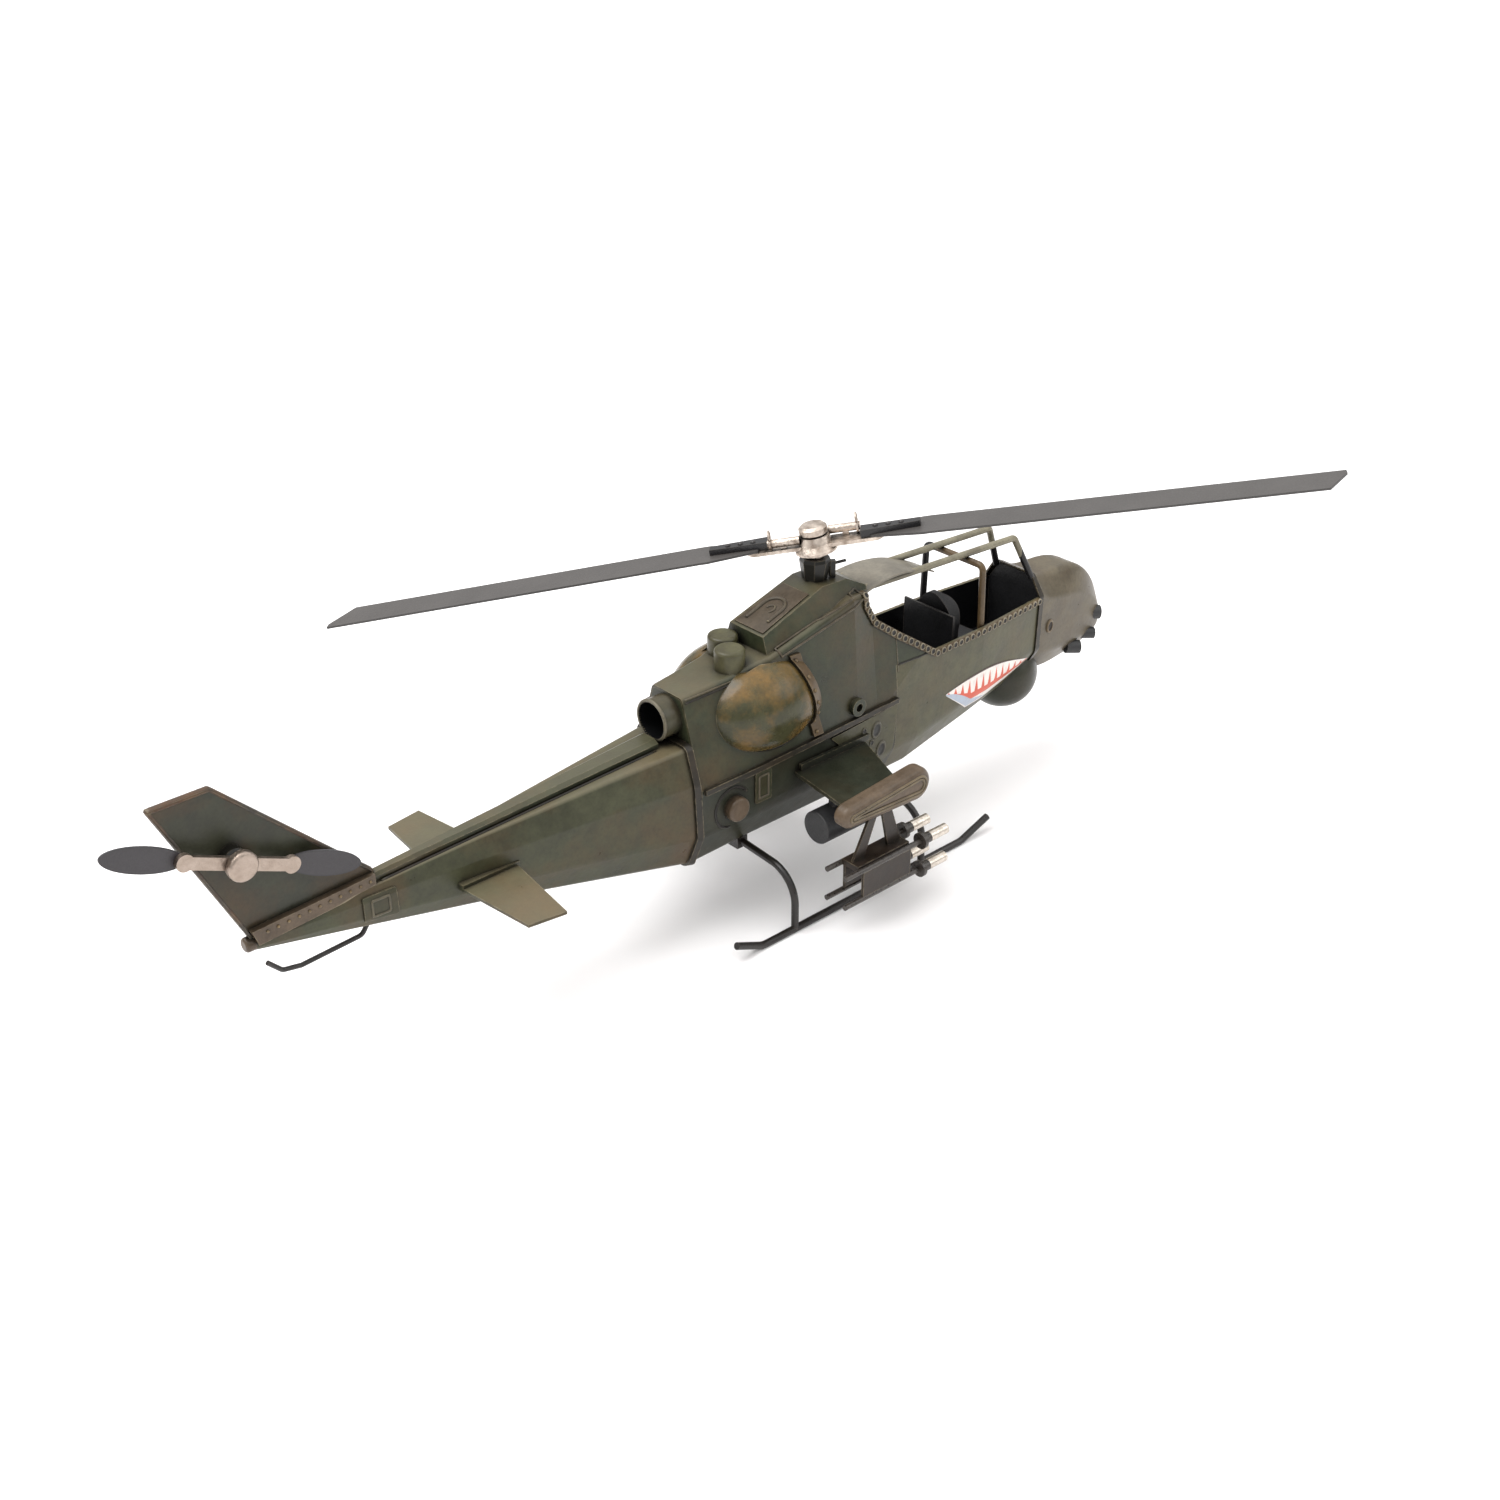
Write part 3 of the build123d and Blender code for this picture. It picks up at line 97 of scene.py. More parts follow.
# ---------------------------------------------------------------- sizes and colours a user would change
class HelicopterPaints(bpy.types.PropertyGroup):
    """Colours of the finishes."""

    olive: FloatVectorProperty(name="Olive", description="Paint of the hull", subtype="COLOR", size=4,
                               default=colour("303424"))
    # Khaki is also laid on up-facing faces as painted top light with dust.
    khaki: FloatVectorProperty(name="Khaki", description="Paint rubbed thin along edges", subtype="COLOR", size=4,
                               default=colour("857a62"))
    rust: FloatVectorProperty(name="Rust", description="Brown patches of the aged paint", subtype="COLOR", size=4,
                              default=colour("563d22"))
    # Grime is laid as speckled dirt, and as painted shade in corners and seams the light hardly reaches.
    grime: FloatVectorProperty(name="Grime", description="Dark wash in seams and corners", subtype="COLOR", size=4,
                               default=colour("14130f"))
    bronze: FloatVectorProperty(name="Bronze", description="Soldered strips and fairings", subtype="COLOR", size=4,
                                default=colour("594830"))
    gum: FloatVectorProperty(name="Gum", description="Red of the painted jaws", subtype="COLOR", size=4,
                             default=colour("cf5238"))
    lip: FloatVectorProperty(name="Lip", description="Pale blue lower lip", subtype="COLOR", size=4,
                             default=colour("a9b3c2"))
    teeth: FloatVectorProperty(name="Teeth", description="White of the painted jaws", subtype="COLOR", size=4,
                               default=colour("e6dfd9"))


class HelicopterSizes(bpy.types.PropertyGroup):
    """Sizes of the added details."""

    eyelet_pitch: FloatProperty(name="Eyelet pitch", description="Between pressed eyelets of the sill trim",
                                default=3.7 * MM, unit="LENGTH")
    eyelet_radius: FloatProperty(name="Eyelet radius", description="Rim of a pressed eyelet",
                                 default=1.5 * MM, unit="LENGTH")
    rivet_radius: FloatProperty(name="Rivet radius", description="Head of a strap rivet",
                                default=0.85 * MM, unit="LENGTH")
    seam_radius: FloatProperty(name="Seam radius", description="Half width of a soldered seam",
                               default=0.42 * MM, unit="LENGTH")
    tooth_count: IntProperty(name="Teeth", description="Upper teeth in each painted jaw", default=13)
    jaw_proud: FloatProperty(name="Jaw thickness", description="Paint of the jaws above the hull",
                             default=0.12 * MM, unit="LENGTH")
    ridge_radius: FloatProperty(name="Ridge radius", description="Half width of a fairing's pressed ridge",
                                default=0.6 * MM, unit="LENGTH")
    clip_radius: FloatProperty(name="Clip radius", description="Wire ring on a drag brace",
                               default=2.0 * MM, unit="LENGTH")


class HelicopterStudio(bpy.types.PropertyGroup):
    """Light and floor."""

    sky: FloatProperty(name="Sky light", description="Strength of the white surroundings", default=1.15)
    key: FloatProperty(name="Key light", description="Power of the large soft lamp", default=15.0, unit="POWER")
    fill: FloatProperty(name="Fill light", description="Power of the smaller soft lamp", default=3.0, unit="POWER")


def paints():
    """The scene's colours."""
    return bpy.context.scene.helicopter_paints


def sizes():
    """The scene's detail sizes."""
    return bpy.context.scene.helicopter_sizes


def studio():
    """The scene's lights."""
    return bpy.context.scene.helicopter_studio


# ---------------------------------------------------------------- surfaces
def unit(rows):
    """Rows scaled to length one."""
    return rows / np.linalg.norm(rows, axis=-1, keepdims=True)


def oval(centre, reach, angles):
    """Points of a flat oval: centre + reach * (cosine, sine) of each angle."""
    return np.array(centre) + np.array(reach) * np.stack([np.cos(angles), np.sin(angles)], 1)


def triangles(names):
    """Corners of the named CAD nodes' triangles in mm, one row of three points each."""
    found = []
    for name in names:
        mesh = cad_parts[name].data
        mesh.calc_loop_triangles()
        points = np.empty(len(mesh.vertices) * 3)
        mesh.vertices.foreach_get("co", points)
        index = np.empty(len(mesh.loop_triangles) * 3, dtype=np.int32)
        mesh.loop_triangles.foreach_get("vertices", index)
        found.append(points.reshape(-1, 3)[index.reshape(-1, 3)] / MM)
    return np.concatenate(found)


def landed(names, points, axis=1, side=STARBOARD):
    """Points moved along one axis onto the outermost skin of the named nodes, and the skin's outward direction.

    Seen along the axis, a point is inside a triangle when its three edge areas have one sign;
    those areas weigh the corners' heights, and the height furthest towards side is kept.
    """
    corners = triangles(names)
    i, j = [k for k in range(3) if k != axis]
    low, high = points[:, [i, j]].min(0) - 1, points[:, [i, j]].max(0) + 1
    flat = corners[:, :, [i, j]]
    near = (flat.max(1) > low).all(1) & (flat.min(1) < high).all(1)
    corners, flat = corners[near], flat[near]
    edge_1, edge_2 = flat[:, 1] - flat[:, 0], flat[:, 2] - flat[:, 0]
    area = edge_1[:, 0] * edge_2[:, 1] - edge_1[:, 1] * edge_2[:, 0]
    solid = np.abs(area) > 1e-6
    corners, flat, area, edge_1, edge_2 = (rows[solid] for rows in (corners, flat, area, edge_1, edge_2))
    facing = unit(np.cross(corners[:, 1] - corners[:, 0], corners[:, 2] - corners[:, 0]))
    facing = facing * np.sign(facing[:, axis:axis + 1]) * side
    result, outward = points.astype(float).copy(), np.zeros_like(points, dtype=float)
    for part in np.array_split(np.arange(len(points)), max(1, len(points) // 200)):
        gap = points[part][:, None, [i, j]] - flat[None, :, 0]
        u = (gap[..., 0] * edge_2[:, 1] - gap[..., 1] * edge_2[:, 0]) / area
        v = (gap[..., 1] * edge_1[:, 0] - gap[..., 0] * edge_1[:, 1]) / area
        inside = (u >= -1e-4) & (v >= -1e-4) & (u + v <= 1 + 1e-4)
        depth = (1 - u - v) * corners[:, 0, axis] + u * corners[:, 1, axis] + v * corners[:, 2, axis]
        reach = np.where(inside, depth * side, -1e9)
        best = reach.argmax(1)
        if not inside.any(1).all():
            raise RuntimeError(f"a detail misses the skin of {names}")
        result[part, axis] = depth[np.arange(len(part)), best]
        outward[part] = facing[best]
    return result, outward


def evenly(corners, step):
    """Points along straight runs, step apart or a little less, with both ends."""
    corners = np.array(corners, float)
    lengths = np.linalg.norm(np.diff(corners, axis=0), axis=1)
    along = np.concatenate([[0], np.cumsum(lengths)])
    wanted = np.linspace(0, along[-1], int(along[-1] / step) + 2)
    return np.stack([np.interp(wanted, along, corners[:, k]) for k in range(corners.shape[1])], 1)


def side_points(pairs):
    """Side-view (x, z) rows as points on the middle plane."""
    pairs = np.array(pairs, float)
    return np.stack([pairs[:, 0], np.zeros(len(pairs)), pairs[:, 1]], 1)


def half_round(radius, height, sink=0.3, steps=7):
    """Closed half-round outline: across = radius cos a, out = height sin a, with its base sunk."""
    a = np.linspace(0, math.pi, steps)
    arch = np.stack([radius * np.cos(a), height * np.sin(a)], 1)
    return np.concatenate([arch, [[-radius, -sink], [radius, -sink]]])


def full_round(radius, steps=10):
    """Closed round outline of one radius."""
    a = np.linspace(0, 2 * math.pi, steps, endpoint=False)
    return np.stack([radius * np.cos(a), radius * np.sin(a)], 1)


def swept(path, outward, outline, closed=False):
    """Outline carried along a path: point = path + across * side + out * outward, side = ahead x outward."""
    path = np.asarray(path, float)
    ahead = np.roll(path, -1, 0) - np.roll(path, 1, 0)
    if not closed:
        ahead[0], ahead[-1] = path[1] - path[0], path[-1] - path[-2]
    ahead = unit(ahead)
    outward = np.broadcast_to(outward, path.shape)
    outward = unit(outward - ahead * (outward * ahead).sum(1, keepdims=True))
    side = np.cross(ahead, outward)
    grid = path[:, None] + outline[None, :, :1] * side[:, None] + outline[None, :, 1:] * outward[:, None]
    n, k = grid.shape[:2]
    i, j = np.meshgrid(np.arange(n if closed else n - 1), np.arange(k), indexing="ij")
    after, turn = (i + 1) % n, (j + 1) % k
    faces = np.stack([i * k + j, after * k + j, after * k + turn, i * k + turn], -1).reshape(-1, 4).tolist()
    if not closed:
        faces += [list(range(k)), list(range((n - 1) * k, n * k))[::-1]]
    return grid.reshape(-1, 3), faces


def stamped(outline, spots, outward, along, count=12, stretch=1.0):
    """Turned shape repeated at spots: point = spot + r cos a along * stretch + r sin a side + h outward.

    The outline runs from the sunk base (radius, height) to a last row of radius 0.
    """
    outline = np.asarray(outline, float)
    spots, outward = np.atleast_2d(spots), np.broadcast_to(outward, np.atleast_2d(spots).shape)
    along = np.broadcast_to(along, spots.shape)
    along = unit(along - outward * (along * outward).sum(1, keepdims=True))
    side = np.cross(outward, along)
    a = np.linspace(0, 2 * math.pi, count, endpoint=False)
    rings, apex = outline[:-1], outline[-1]
    x = (rings[:, :1] * np.cos(a) * stretch).ravel()
    y = (rings[:, :1] * np.sin(a)).ravel()
    h = np.repeat(rings[:, 1], count)
    x, y, h = np.append(x, 0.0), np.append(y, 0.0), np.append(h, apex[1])
    points = (spots[:, None] + x[None, :, None] * along[:, None] + y[None, :, None] * side[:, None]
              + h[None, :, None] * outward[:, None])
    n = len(rings)
    i, j = np.meshgrid(np.arange(n - 1), np.arange(count), indexing="ij")
    turn = (j + 1) % count
    quads = np.stack([i * count + j, i * count + turn, (i + 1) * count + turn, (i + 1) * count + j],
                     -1).reshape(-1, 4)
    j = np.arange(count)
    crown = np.stack([(n - 1) * count + j, (n - 1) * count + (j + 1) % count, np.full(count, n * count)], -1)
    base = np.arange(count)[::-1]
    shift = np.arange(len(spots))[:, None, None] * (n * count + 1)
    faces = (quads + shift).reshape(-1, 4).tolist() + (crown + shift).reshape(-1, 3).tolist()
    faces += (base + shift).reshape(-1, count).tolist()
    level = np.append(np.repeat(np.linspace(0, 1, n + 1)[:-1], count), 1.0)
    return points.reshape(-1, 3), faces, np.tile(level, len(spots))


def shell(front, back):
    """Closed thin shell between two grids of points that share their outline's order."""
    n, k = front.shape[:2]
    i, j = np.meshgrid(np.arange(n - 1), np.arange(k - 1), indexing="ij")
    quads = np.stack([i * k + j, (i + 1) * k + j, (i + 1) * k + j + 1, i * k + j + 1], -1).reshape(-1, 4)
    rim = np.concatenate([np.arange(n - 1) * k, (n - 1) * k + np.arange(k - 1),
                          (n - 1 - np.arange(n - 1)) * k + k - 1,
                          k - 1 - np.arange(k - 1)])
    after = np.roll(rim, -1)
    edge = np.stack([after, rim, rim + n * k, after + n * k], -1)
    faces = quads.tolist() + (quads[:, ::-1] + n * k).tolist() + edge.tolist()
    return np.concatenate([front.reshape(-1, 3), back.reshape(-1, 3)]), faces


def port(shape):
    """The shape's twin across the middle plane, its faces turned so that they still point outwards."""
    points, faces, *rest = shape
    return (points * [1, -1, 1], [face[::-1] for face in faces], *rest)


def piece(name, shapes, body, finish, smooth=True, uv=None):
    """One new piece of several shapes, riding on a body, with its level attribute or UV map where it has one."""
    points = np.concatenate([shape[0] for shape in shapes])
    starts = np.cumsum([0] + [len(shape[0]) for shape in shapes])
    faces = [[v + start for v in face] for shape, start in zip(shapes, starts) for face in shape[1]]
    mesh = bpy.data.meshes.new(name)
    mesh.from_pydata((points * MM).tolist(), [], faces)
    if all(len(shape) > 2 for shape in shapes):
        mesh.attributes.new("level", "FLOAT", "POINT").data.foreach_set(
            "value", np.concatenate([shape[2] for shape in shapes]))
    if uv is not None:
        corner = np.empty(len(mesh.loops), dtype=np.int32)
        mesh.loops.foreach_get("vertex_index", corner)
        mesh.uv_layers.new(name="painted").data.foreach_set("uv", uv[corner].ravel())
    mesh.polygons.foreach_set("use_smooth", np.full(len(mesh.polygons), smooth))
    mesh.materials.append(finish)
    mesh.update()
    made = bpy.data.objects.new(name, mesh)
    bpy.context.scene.collection.objects.link(made)
    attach(made, body)
    return made


def box_mm(name):
    """Lowest and highest corners of a CAD node in mm."""
    low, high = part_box(name)
    return np.array(low) / MM, np.array(high) / MM


# ---------------------------------------------------------------- finishes
def add(tree, kind, links=None, **settings):
    """Adds one node: settings are its own values, links its inputs, each a number, a colour or an output."""
    made = tree.nodes.new(kind)
    for key, value in settings.items():
        setattr(made, key, value)
    for key, value in (links or {}).items():
        if isinstance(value, bpy.types.NodeSocket):
            tree.links.new(value, made.inputs[key])
        else:
            made.inputs[key].default_value = value
    return made


def new_finish(name):
    """Empty material: its tree, its principled shader joined to the output, and the object's own coordinates."""
    finish = bpy.data.materials.new(name)
    finish.use_nodes = True
    tree = finish.node_tree
    tree.nodes.clear()
    shader = add(tree, "ShaderNodeBsdfPrincipled")
    add(tree, "ShaderNodeOutputMaterial", {"Surface": shader.outputs["BSDF"]})
    return finish, tree, shader, add(tree, "ShaderNodeTexCoord").outputs["Object"]


def spots_of(tree, place, size_mm, low, high, most=1.0, seed=0.0, detail=3.0):
    """Cloudy mask with features about size_mm across, 0 below low and most above high."""
    moved = add(tree, "ShaderNodeMapping", {"Vector": place, "Location": (seed, seed * 0.37, seed * 0.61)})
    noise = add(tree, "ShaderNodeTexNoise", {"Vector": moved.outputs["Vector"], "Scale": 1.0 / (size_mm * MM),
                                             "Detail": detail, "Roughness": 0.6})
    return add(tree, "ShaderNodeMapRange", {"Value": noise.outputs["Fac"], "From Min": low, "From Max": high,
                                            "To Max": most}).outputs["Result"]


def shaded(paint, by):
    """Paint made darker, by less than one, or lighter."""
    return tuple(min(1.0, v * by) for v in paint[:3]) + (1.0,)


def laid(tree, base, *coats):
    """Coats brushed over a base colour, each a mask and the colour it leaves where the mask is one."""
    for mask, tint in coats:
        base = add(tree, "ShaderNodeMix", {0: mask, 6: base, 7: tint}, data_type="RGBA").outputs[2]
    return base


def finished(tree, shader, coat, grain, gloss, depth_mm=0.0, metal=0.0):
    """Gives the shader its coat, a gloss between two values that follows the grain, and a skin depth_mm rough."""
    tree.links.new(coat, shader.inputs["Base Color"])
    rough = add(tree, "ShaderNodeMapRange", {"Value": grain, "To Min": gloss[0], "To Max": gloss[1]})
    tree.links.new(rough.outputs["Result"], shader.inputs["Roughness"])
    shader.inputs["Metallic"].default_value = metal
    if depth_mm:
        bump = add(tree, "ShaderNodeBump", {"Strength": 0.3, "Distance": depth_mm * MM, "Height": grain})
        tree.links.new(bump.outputs["Normal"], shader.inputs["Normal"])


def worn_edges(tree, radius_mm, low, high, most=1.0):
    """Mask of sharp edges: there the rounded normal turns away from the face's own."""
    rounded = add(tree, "ShaderNodeBevel", {"Radius": radius_mm * MM}, samples=4)
    own = add(tree, "ShaderNodeNewGeometry")
    likeness = add(tree, "ShaderNodeVectorMath", {0: rounded.outputs["Normal"], 1: own.outputs["True Normal"]},
                   operation="DOT_PRODUCT")
    return add(tree, "ShaderNodeMapRange", {"Value": likeness.outputs["Value"], "From Min": high, "From Max": low,
                                            "To Max": most}).outputs["Result"]


def painted_corner_shade(tree, distance_mm, low, high, most=1.0):
    """Mask of corners and seams that the light hardly reaches, where a dark colour is laid as painted shade."""
    open_sky = add(tree, "ShaderNodeAmbientOcclusion", {"Distance": distance_mm * MM}, samples=6)
    return add(tree, "ShaderNodeMapRange", {"Value": open_sky.outputs["AO"], "From Min": high, "From Max": low,
                                            "To Max": most}).outputs["Result"]


def beyond(tree, place, axis, mm):
    """Mask of what lies past a plane across one axis."""
    along = add(tree, "ShaderNodeSeparateXYZ", {0: place}).outputs[axis]
    return add(tree, "ShaderNodeMath", {0: along, 1: mm * MM}, operation="GREATER_THAN").outputs[0]


def inner_faces(tree, place, middle_mm):
    """Mask of faces that look towards a lengthwise axis at height middle_mm, the inside of a shell."""
    centred = add(tree, "ShaderNodeMapping", {"Vector": place, "Location": (0, 0, -middle_mm * MM),
                                              "Scale": (0, 1, 1)})
    facing = add(tree, "ShaderNodeVectorMath", {0: centred.outputs["Vector"],
                                                1: add(tree, "ShaderNodeTexCoord").outputs["Normal"]},
                 operation="DOT_PRODUCT")
    return add(tree, "ShaderNodeMath", {0: facing.outputs["Value"], 1: 0.0}, operation="LESS_THAN").outputs[0]


def aged_enamel(name, paint, patch, patch_share=0.45, gloss=0.34, patch_mm=26.0, seed=0.0, rub=0.75, shade=0.28,
                inside=None, top_light_and_dust=0.0, black=None):
    """Brushed enamel on tin plate, aged by hand: mottled coat, brown patches, rubbed edges, painted shade in
    corners, and painted top light with dust on up-facing faces.

    inside is the height of an open shell's middle, and black is an axis and a station past which the coat is black.
    """
    finish, tree, shader, place = new_finish(name)
    grime, khaki = tuple(paints().grime), tuple(paints().khaki)
    mottle = spots_of(tree, place, 9.0, 0.3, 0.7, seed=seed, detail=6.0)
    coat = laid(tree, shaded(paint, 1 - shade), (mottle, shaded(paint, 1 + shade)),
                (spots_of(tree, place, patch_mm, 0.44, 0.7, patch_share, seed + 0.3, 5.0), patch),
                (spots_of(tree, place, 1.4, 0.45, 0.75, 0.22, seed + 0.7), grime))
    # Up-facing faces are mixed towards khaki: painted top light, with dust on the tops.
    if top_light_and_dust:
        up = add(tree, "ShaderNodeSeparateXYZ", {0: add(tree, "ShaderNodeTexCoord").outputs["Normal"]}).outputs["Z"]
        flat = add(tree, "ShaderNodeMapRange", {"Value": up, "From Min": 0.4, "From Max": 0.95, "To Max": top_light_and_dust})
        coat = laid(tree, coat, (flat.outputs["Result"], khaki))
    broken = spots_of(tree, place, 3.5, 0.38, 0.58, rub, seed + 0.2)
    wear = add(tree, "ShaderNodeMath", {0: worn_edges(tree, 0.6, 0.84, 0.985), 1: broken}, operation="MULTIPLY")
    # Corners and seams that the light hardly reaches turn to the grime colour: painted shade.
    coat = laid(tree, coat, (wear.outputs[0], khaki), (painted_corner_shade(tree, 4.5, 0.4, 0.92, 0.97), grime))
    if inside is not None:
        coat = laid(tree, coat, (inner_faces(tree, place, inside), colour("0c0c0d")))
    if black:
        coat = laid(tree, coat, (beyond(tree, place, *black), colour("161516")))
    finished(tree, shader, coat, mottle, (gloss - 0.07, gloss + 0.1), 0.3)
    shader.inputs["Specular IOR Level"].default_value = 0.32
    return finish


def cast_nickel(name, bright="d8ccc0"):
    """Nickel-plated castings, tumbled: warm pinkish grey, soft gloss over a lumpy skin, near black in the corners
    as painted shade.
    """
    finish, tree, shader, place = new_finish(name)
    # Near black where the occlusion mask finds corners: painted shade.
    coat = laid(tree, colour(bright), (spots_of(tree, place, 5.0, 0.35, 0.7, 1.0, 0.5), colour("94867a")),
                (painted_corner_shade(tree, 2.5, 0.3, 0.8, 0.9), colour("1a1512")))
    finished(tree, shader, coat, spots_of(tree, place, 1.6, 0.3, 0.7), (0.3, 0.5), 0.5, 1.0)
    return finish


def turned_brass(name):
    """Turned brass bush: yellow metal with fine lathe rings."""
    finish, tree, shader, place = new_finish(name)
    rings = add(tree, "ShaderNodeTexWave", {"Vector": place, "Scale": 900.0, "Distortion": 1.0},
                bands_direction="Z")
    coat = laid(tree, colour("9c7a3e"), (rings.outputs["Fac"], colour("b8954f")))
    finished(tree, shader, coat, rings.outputs["Fac"], (0.28, 0.4), 0.0, 1.0)
    return finish


def black_lacquer(name, tint, gloss, shade=0.35):
    """Stoving lacquer over wire or sheet: near black, glossy, brownish where it is thin."""
    finish, tree, shader, place = new_finish(name)
    coat = laid(tree, shaded(tint, 1 - shade), (spots_of(tree, place, 9.0, 0.35, 0.7), shaded(tint, 1 + shade)),
                (worn_edges(tree, 0.5, 0.86, 0.985, 0.4), colour("5f564c")))
    finished(tree, shader, coat, spots_of(tree, place, 0.8, 0.3, 0.75), (gloss, gloss + 0.15), 0.15)
    return finish


def blade_enamel(name, tint, edge):
    """Grey enamel on cut sheet steel: even satin coat with faint rolling lines and a bare dark cut edge."""
    finish, tree, shader, place = new_finish(name)
    grain = spots_of(tree, place, 0.7, 0.3, 0.75)
    coat = laid(tree, shaded(tint, 0.9), (spots_of(tree, place, 18.0, 0.3, 0.75), shaded(tint, 1.1)),
                (spots_of(tree, place, 0.7, 0.3, 0.75, 0.1), edge), (worn_edges(tree, 0.8, 0.9, 0.99), edge))
    finished(tree, shader, coat, grain, (0.4, 0.52), 0.12)
    return finish


def pressed_eyelets(name, rim, hollow):
    """Pressed strip of thin brass under old paint: pale rubbed rims, brown-black in the hollows."""
    finish, tree, shader, place = new_finish(name)
    level = add(tree, "ShaderNodeAttribute", attribute_name="level").outputs["Fac"]
    mottle = spots_of(tree, place, 4.0, 0.3, 0.7)
    sunk = add(tree, "ShaderNodeMapRange", {"Value": level, "From Min": 0.5, "From Max": 0.62})
    coat = laid(tree, rim, (mottle, shaded(rim, 0.72)), (sunk.outputs["Result"], hollow))
    finished(tree, shader, coat, mottle, (0.35, 0.55))
    return finish


def jaw_paint(name):
    """Brushed sign enamel: broad white teeth with thin slits, a red gum band, white and a pale blue lip below."""
    finish, tree, shader, place = new_finish(name)
    p = paints()
    gum, teeth = tuple(p.gum), tuple(p.teeth)
    where = add(tree, "ShaderNodeSeparateXYZ", {0: add(tree, "ShaderNodeTexCoord").outputs["UV"]})
    u, v = where.outputs["X"], where.outputs["Y"]
    half = 0.5 / sizes().tooth_count
    wave = add(tree, "ShaderNodeMath", {0: u, 1: half}, operation="PINGPONG").outputs[0]
    slit = add(tree, "ShaderNodeMapRange", {"Value": wave, "From Min": 0.5 * half, "From Max": half,
                                            "To Min": 0.5, "To Max": 0.9}).outputs["Result"]
    tooth = add(tree, "ShaderNodeMath", {0: v, 1: slit}, operation="GREATER_THAN").outputs[0]
    coat = laid(tree, gum, (tooth, teeth))
    for rear, front, end, tint in ((0.32, 0.22, 1.0, teeth), (0.62, 0.0, 0.6, tuple(p.lip)),
                                   (0.05, 0.05, 1.0, teeth)):
        top = add(tree, "ShaderNodeMapRange", {"Value": u, "From Max": end, "To Min": rear, "To Max": front})
        low = add(tree, "ShaderNodeMath", {0: v, 1: top.outputs["Result"]}, operation="LESS_THAN").outputs[0]
        coat = laid(tree, coat, (low, tint))
    rim = add(tree, "ShaderNodeMath", {0: v, 1: 0.95}, operation="GREATER_THAN").outputs[0]
    grime = spots_of(tree, place, 3.0, 0.45, 0.8, 0.25, detail=4.0)
    coat = laid(tree, coat, (rim, colour("4a3d36")), (grime, colour("6d5f55")))
    finished(tree, shader, coat, grime, (0.42, 0.6))
    return finish


def launcher_mix(name, front_x):
    """Lacquered launch rods with bright nickel sleeves pushed on in front of the discs."""
    finish, tree, shader, place = new_finish(name)
    sleeve = beyond(tree, place, "X", front_x)
    grain = spots_of(tree, place, 1.2, 0.3, 0.75)
    coat = laid(tree, laid(tree, colour("26221f"), (grain, colour("443e38"))),
                (sleeve, laid(tree, colour("d8d0c6"), (grain, colour("b3a99c")))))
    finished(tree, shader, coat, grain, (0.24, 0.42))
    tree.links.new(sleeve, shader.inputs["Metallic"])
    return finish


def floor_paper(name):
    """Seamless studio paper: matt white with the faintest tooth."""
    finish, tree, shader, place = new_finish(name)
    tooth = spots_of(tree, place, 40.0, 0.3, 0.7)
    finished(tree, shader, laid(tree, colour("f8f6f6"), (tooth, colour("faf9f9"))), tooth, (0.58, 0.62))
    shader.inputs["Specular IOR Level"].default_value = 0.25
    return finish


# ---------------------------------------------------------------- operators
class HELI_OT_studio(bpy.types.Operator):
    """Floor, soft lights and camera."""

    bl_idname = "heli.studio"
    bl_label = "Studio"

    def execute(self, context):
        scene = context.scene
        half, depth = 6.0, 0.02
        a = np.linspace(-half, half, 25)
        x, y = np.meshgrid(a, a, indexing="ij")
        top = np.stack([x, y, np.zeros_like(x)], -1) / MM
        points, faces = shell(top, top - [0, 0, depth / MM])
        mesh = bpy.data.meshes.new("floor")
        mesh.from_pydata((points * MM).tolist(), [], faces)
        mesh.materials.append(floor_paper("studio paper"))
        floor = bpy.data.objects.new("floor", mesh)
        scene.collection.objects.link(floor)

        world = bpy.data.worlds.new("studio")
        scene.world = world
        world.use_nodes = True
        tree = world.node_tree
        tree.nodes.clear()
        way = add(tree, "ShaderNodeSeparateXYZ", {0: add(tree, "ShaderNodeTexCoord").outputs["Generated"]})
        rise = add(tree, "ShaderNodeMapRange", {"Value": way.outputs["Z"], "From Min": -0.05, "From Max": 0.9,
                                                "To Min": 0.2, "To Max": 1.5})
        strength = add(tree, "ShaderNodeMath", {0: rise.outputs["Result"], 1: studio().sky},
                       operation="MULTIPLY").outputs[0]
        light = add(tree, "ShaderNodeBackground", {"Color": (1.0, 0.995, 0.99, 1.0), "Strength": strength})
        add(tree, "ShaderNodeOutputWorld", {"Surface": light.outputs["Background"]})

        for name, power, size, place, aim in (
                ("key", studio().key, 1.1, (-0.55, 0.35, 1.35), (0.0, 0.0, 0.08)),
                ("fill", studio().fill, 0.9, (0.9, -0.9, 0.8), (0.0, 0.0, 0.06))):
            lamp = bpy.data.lights.new(name, "AREA")
            lamp.energy, lamp.size, lamp.shape = power, size, "DISK"
            holder = bpy.data.objects.new(name, lamp)
            holder.location = place
            away = np.array(place) - np.array(aim)
            holder.rotation_euler = (math.atan2(math.hypot(away[0], away[1]), away[2]), 0.0,
                                     math.atan2(away[0], -away[1]))
            scene.collection.objects.link(holder)

        lens = bpy.data.cameras.new("camera")
        lens.lens, lens.sensor_width, lens.clip_start = LENS, SENSOR, 0.01
        camera = bpy.data.objects.new("camera", lens)
        camera.location = CAMERA_PLACE
        camera.rotation_euler = (math.radians(CAMERA_PITCH), 0.0, math.radians(CAMERA_HEADING))
        scene.collection.objects.link(camera)
        scene.camera = camera
        scene.view_settings.view_transform = "Standard"
        return {"FINISHED"}


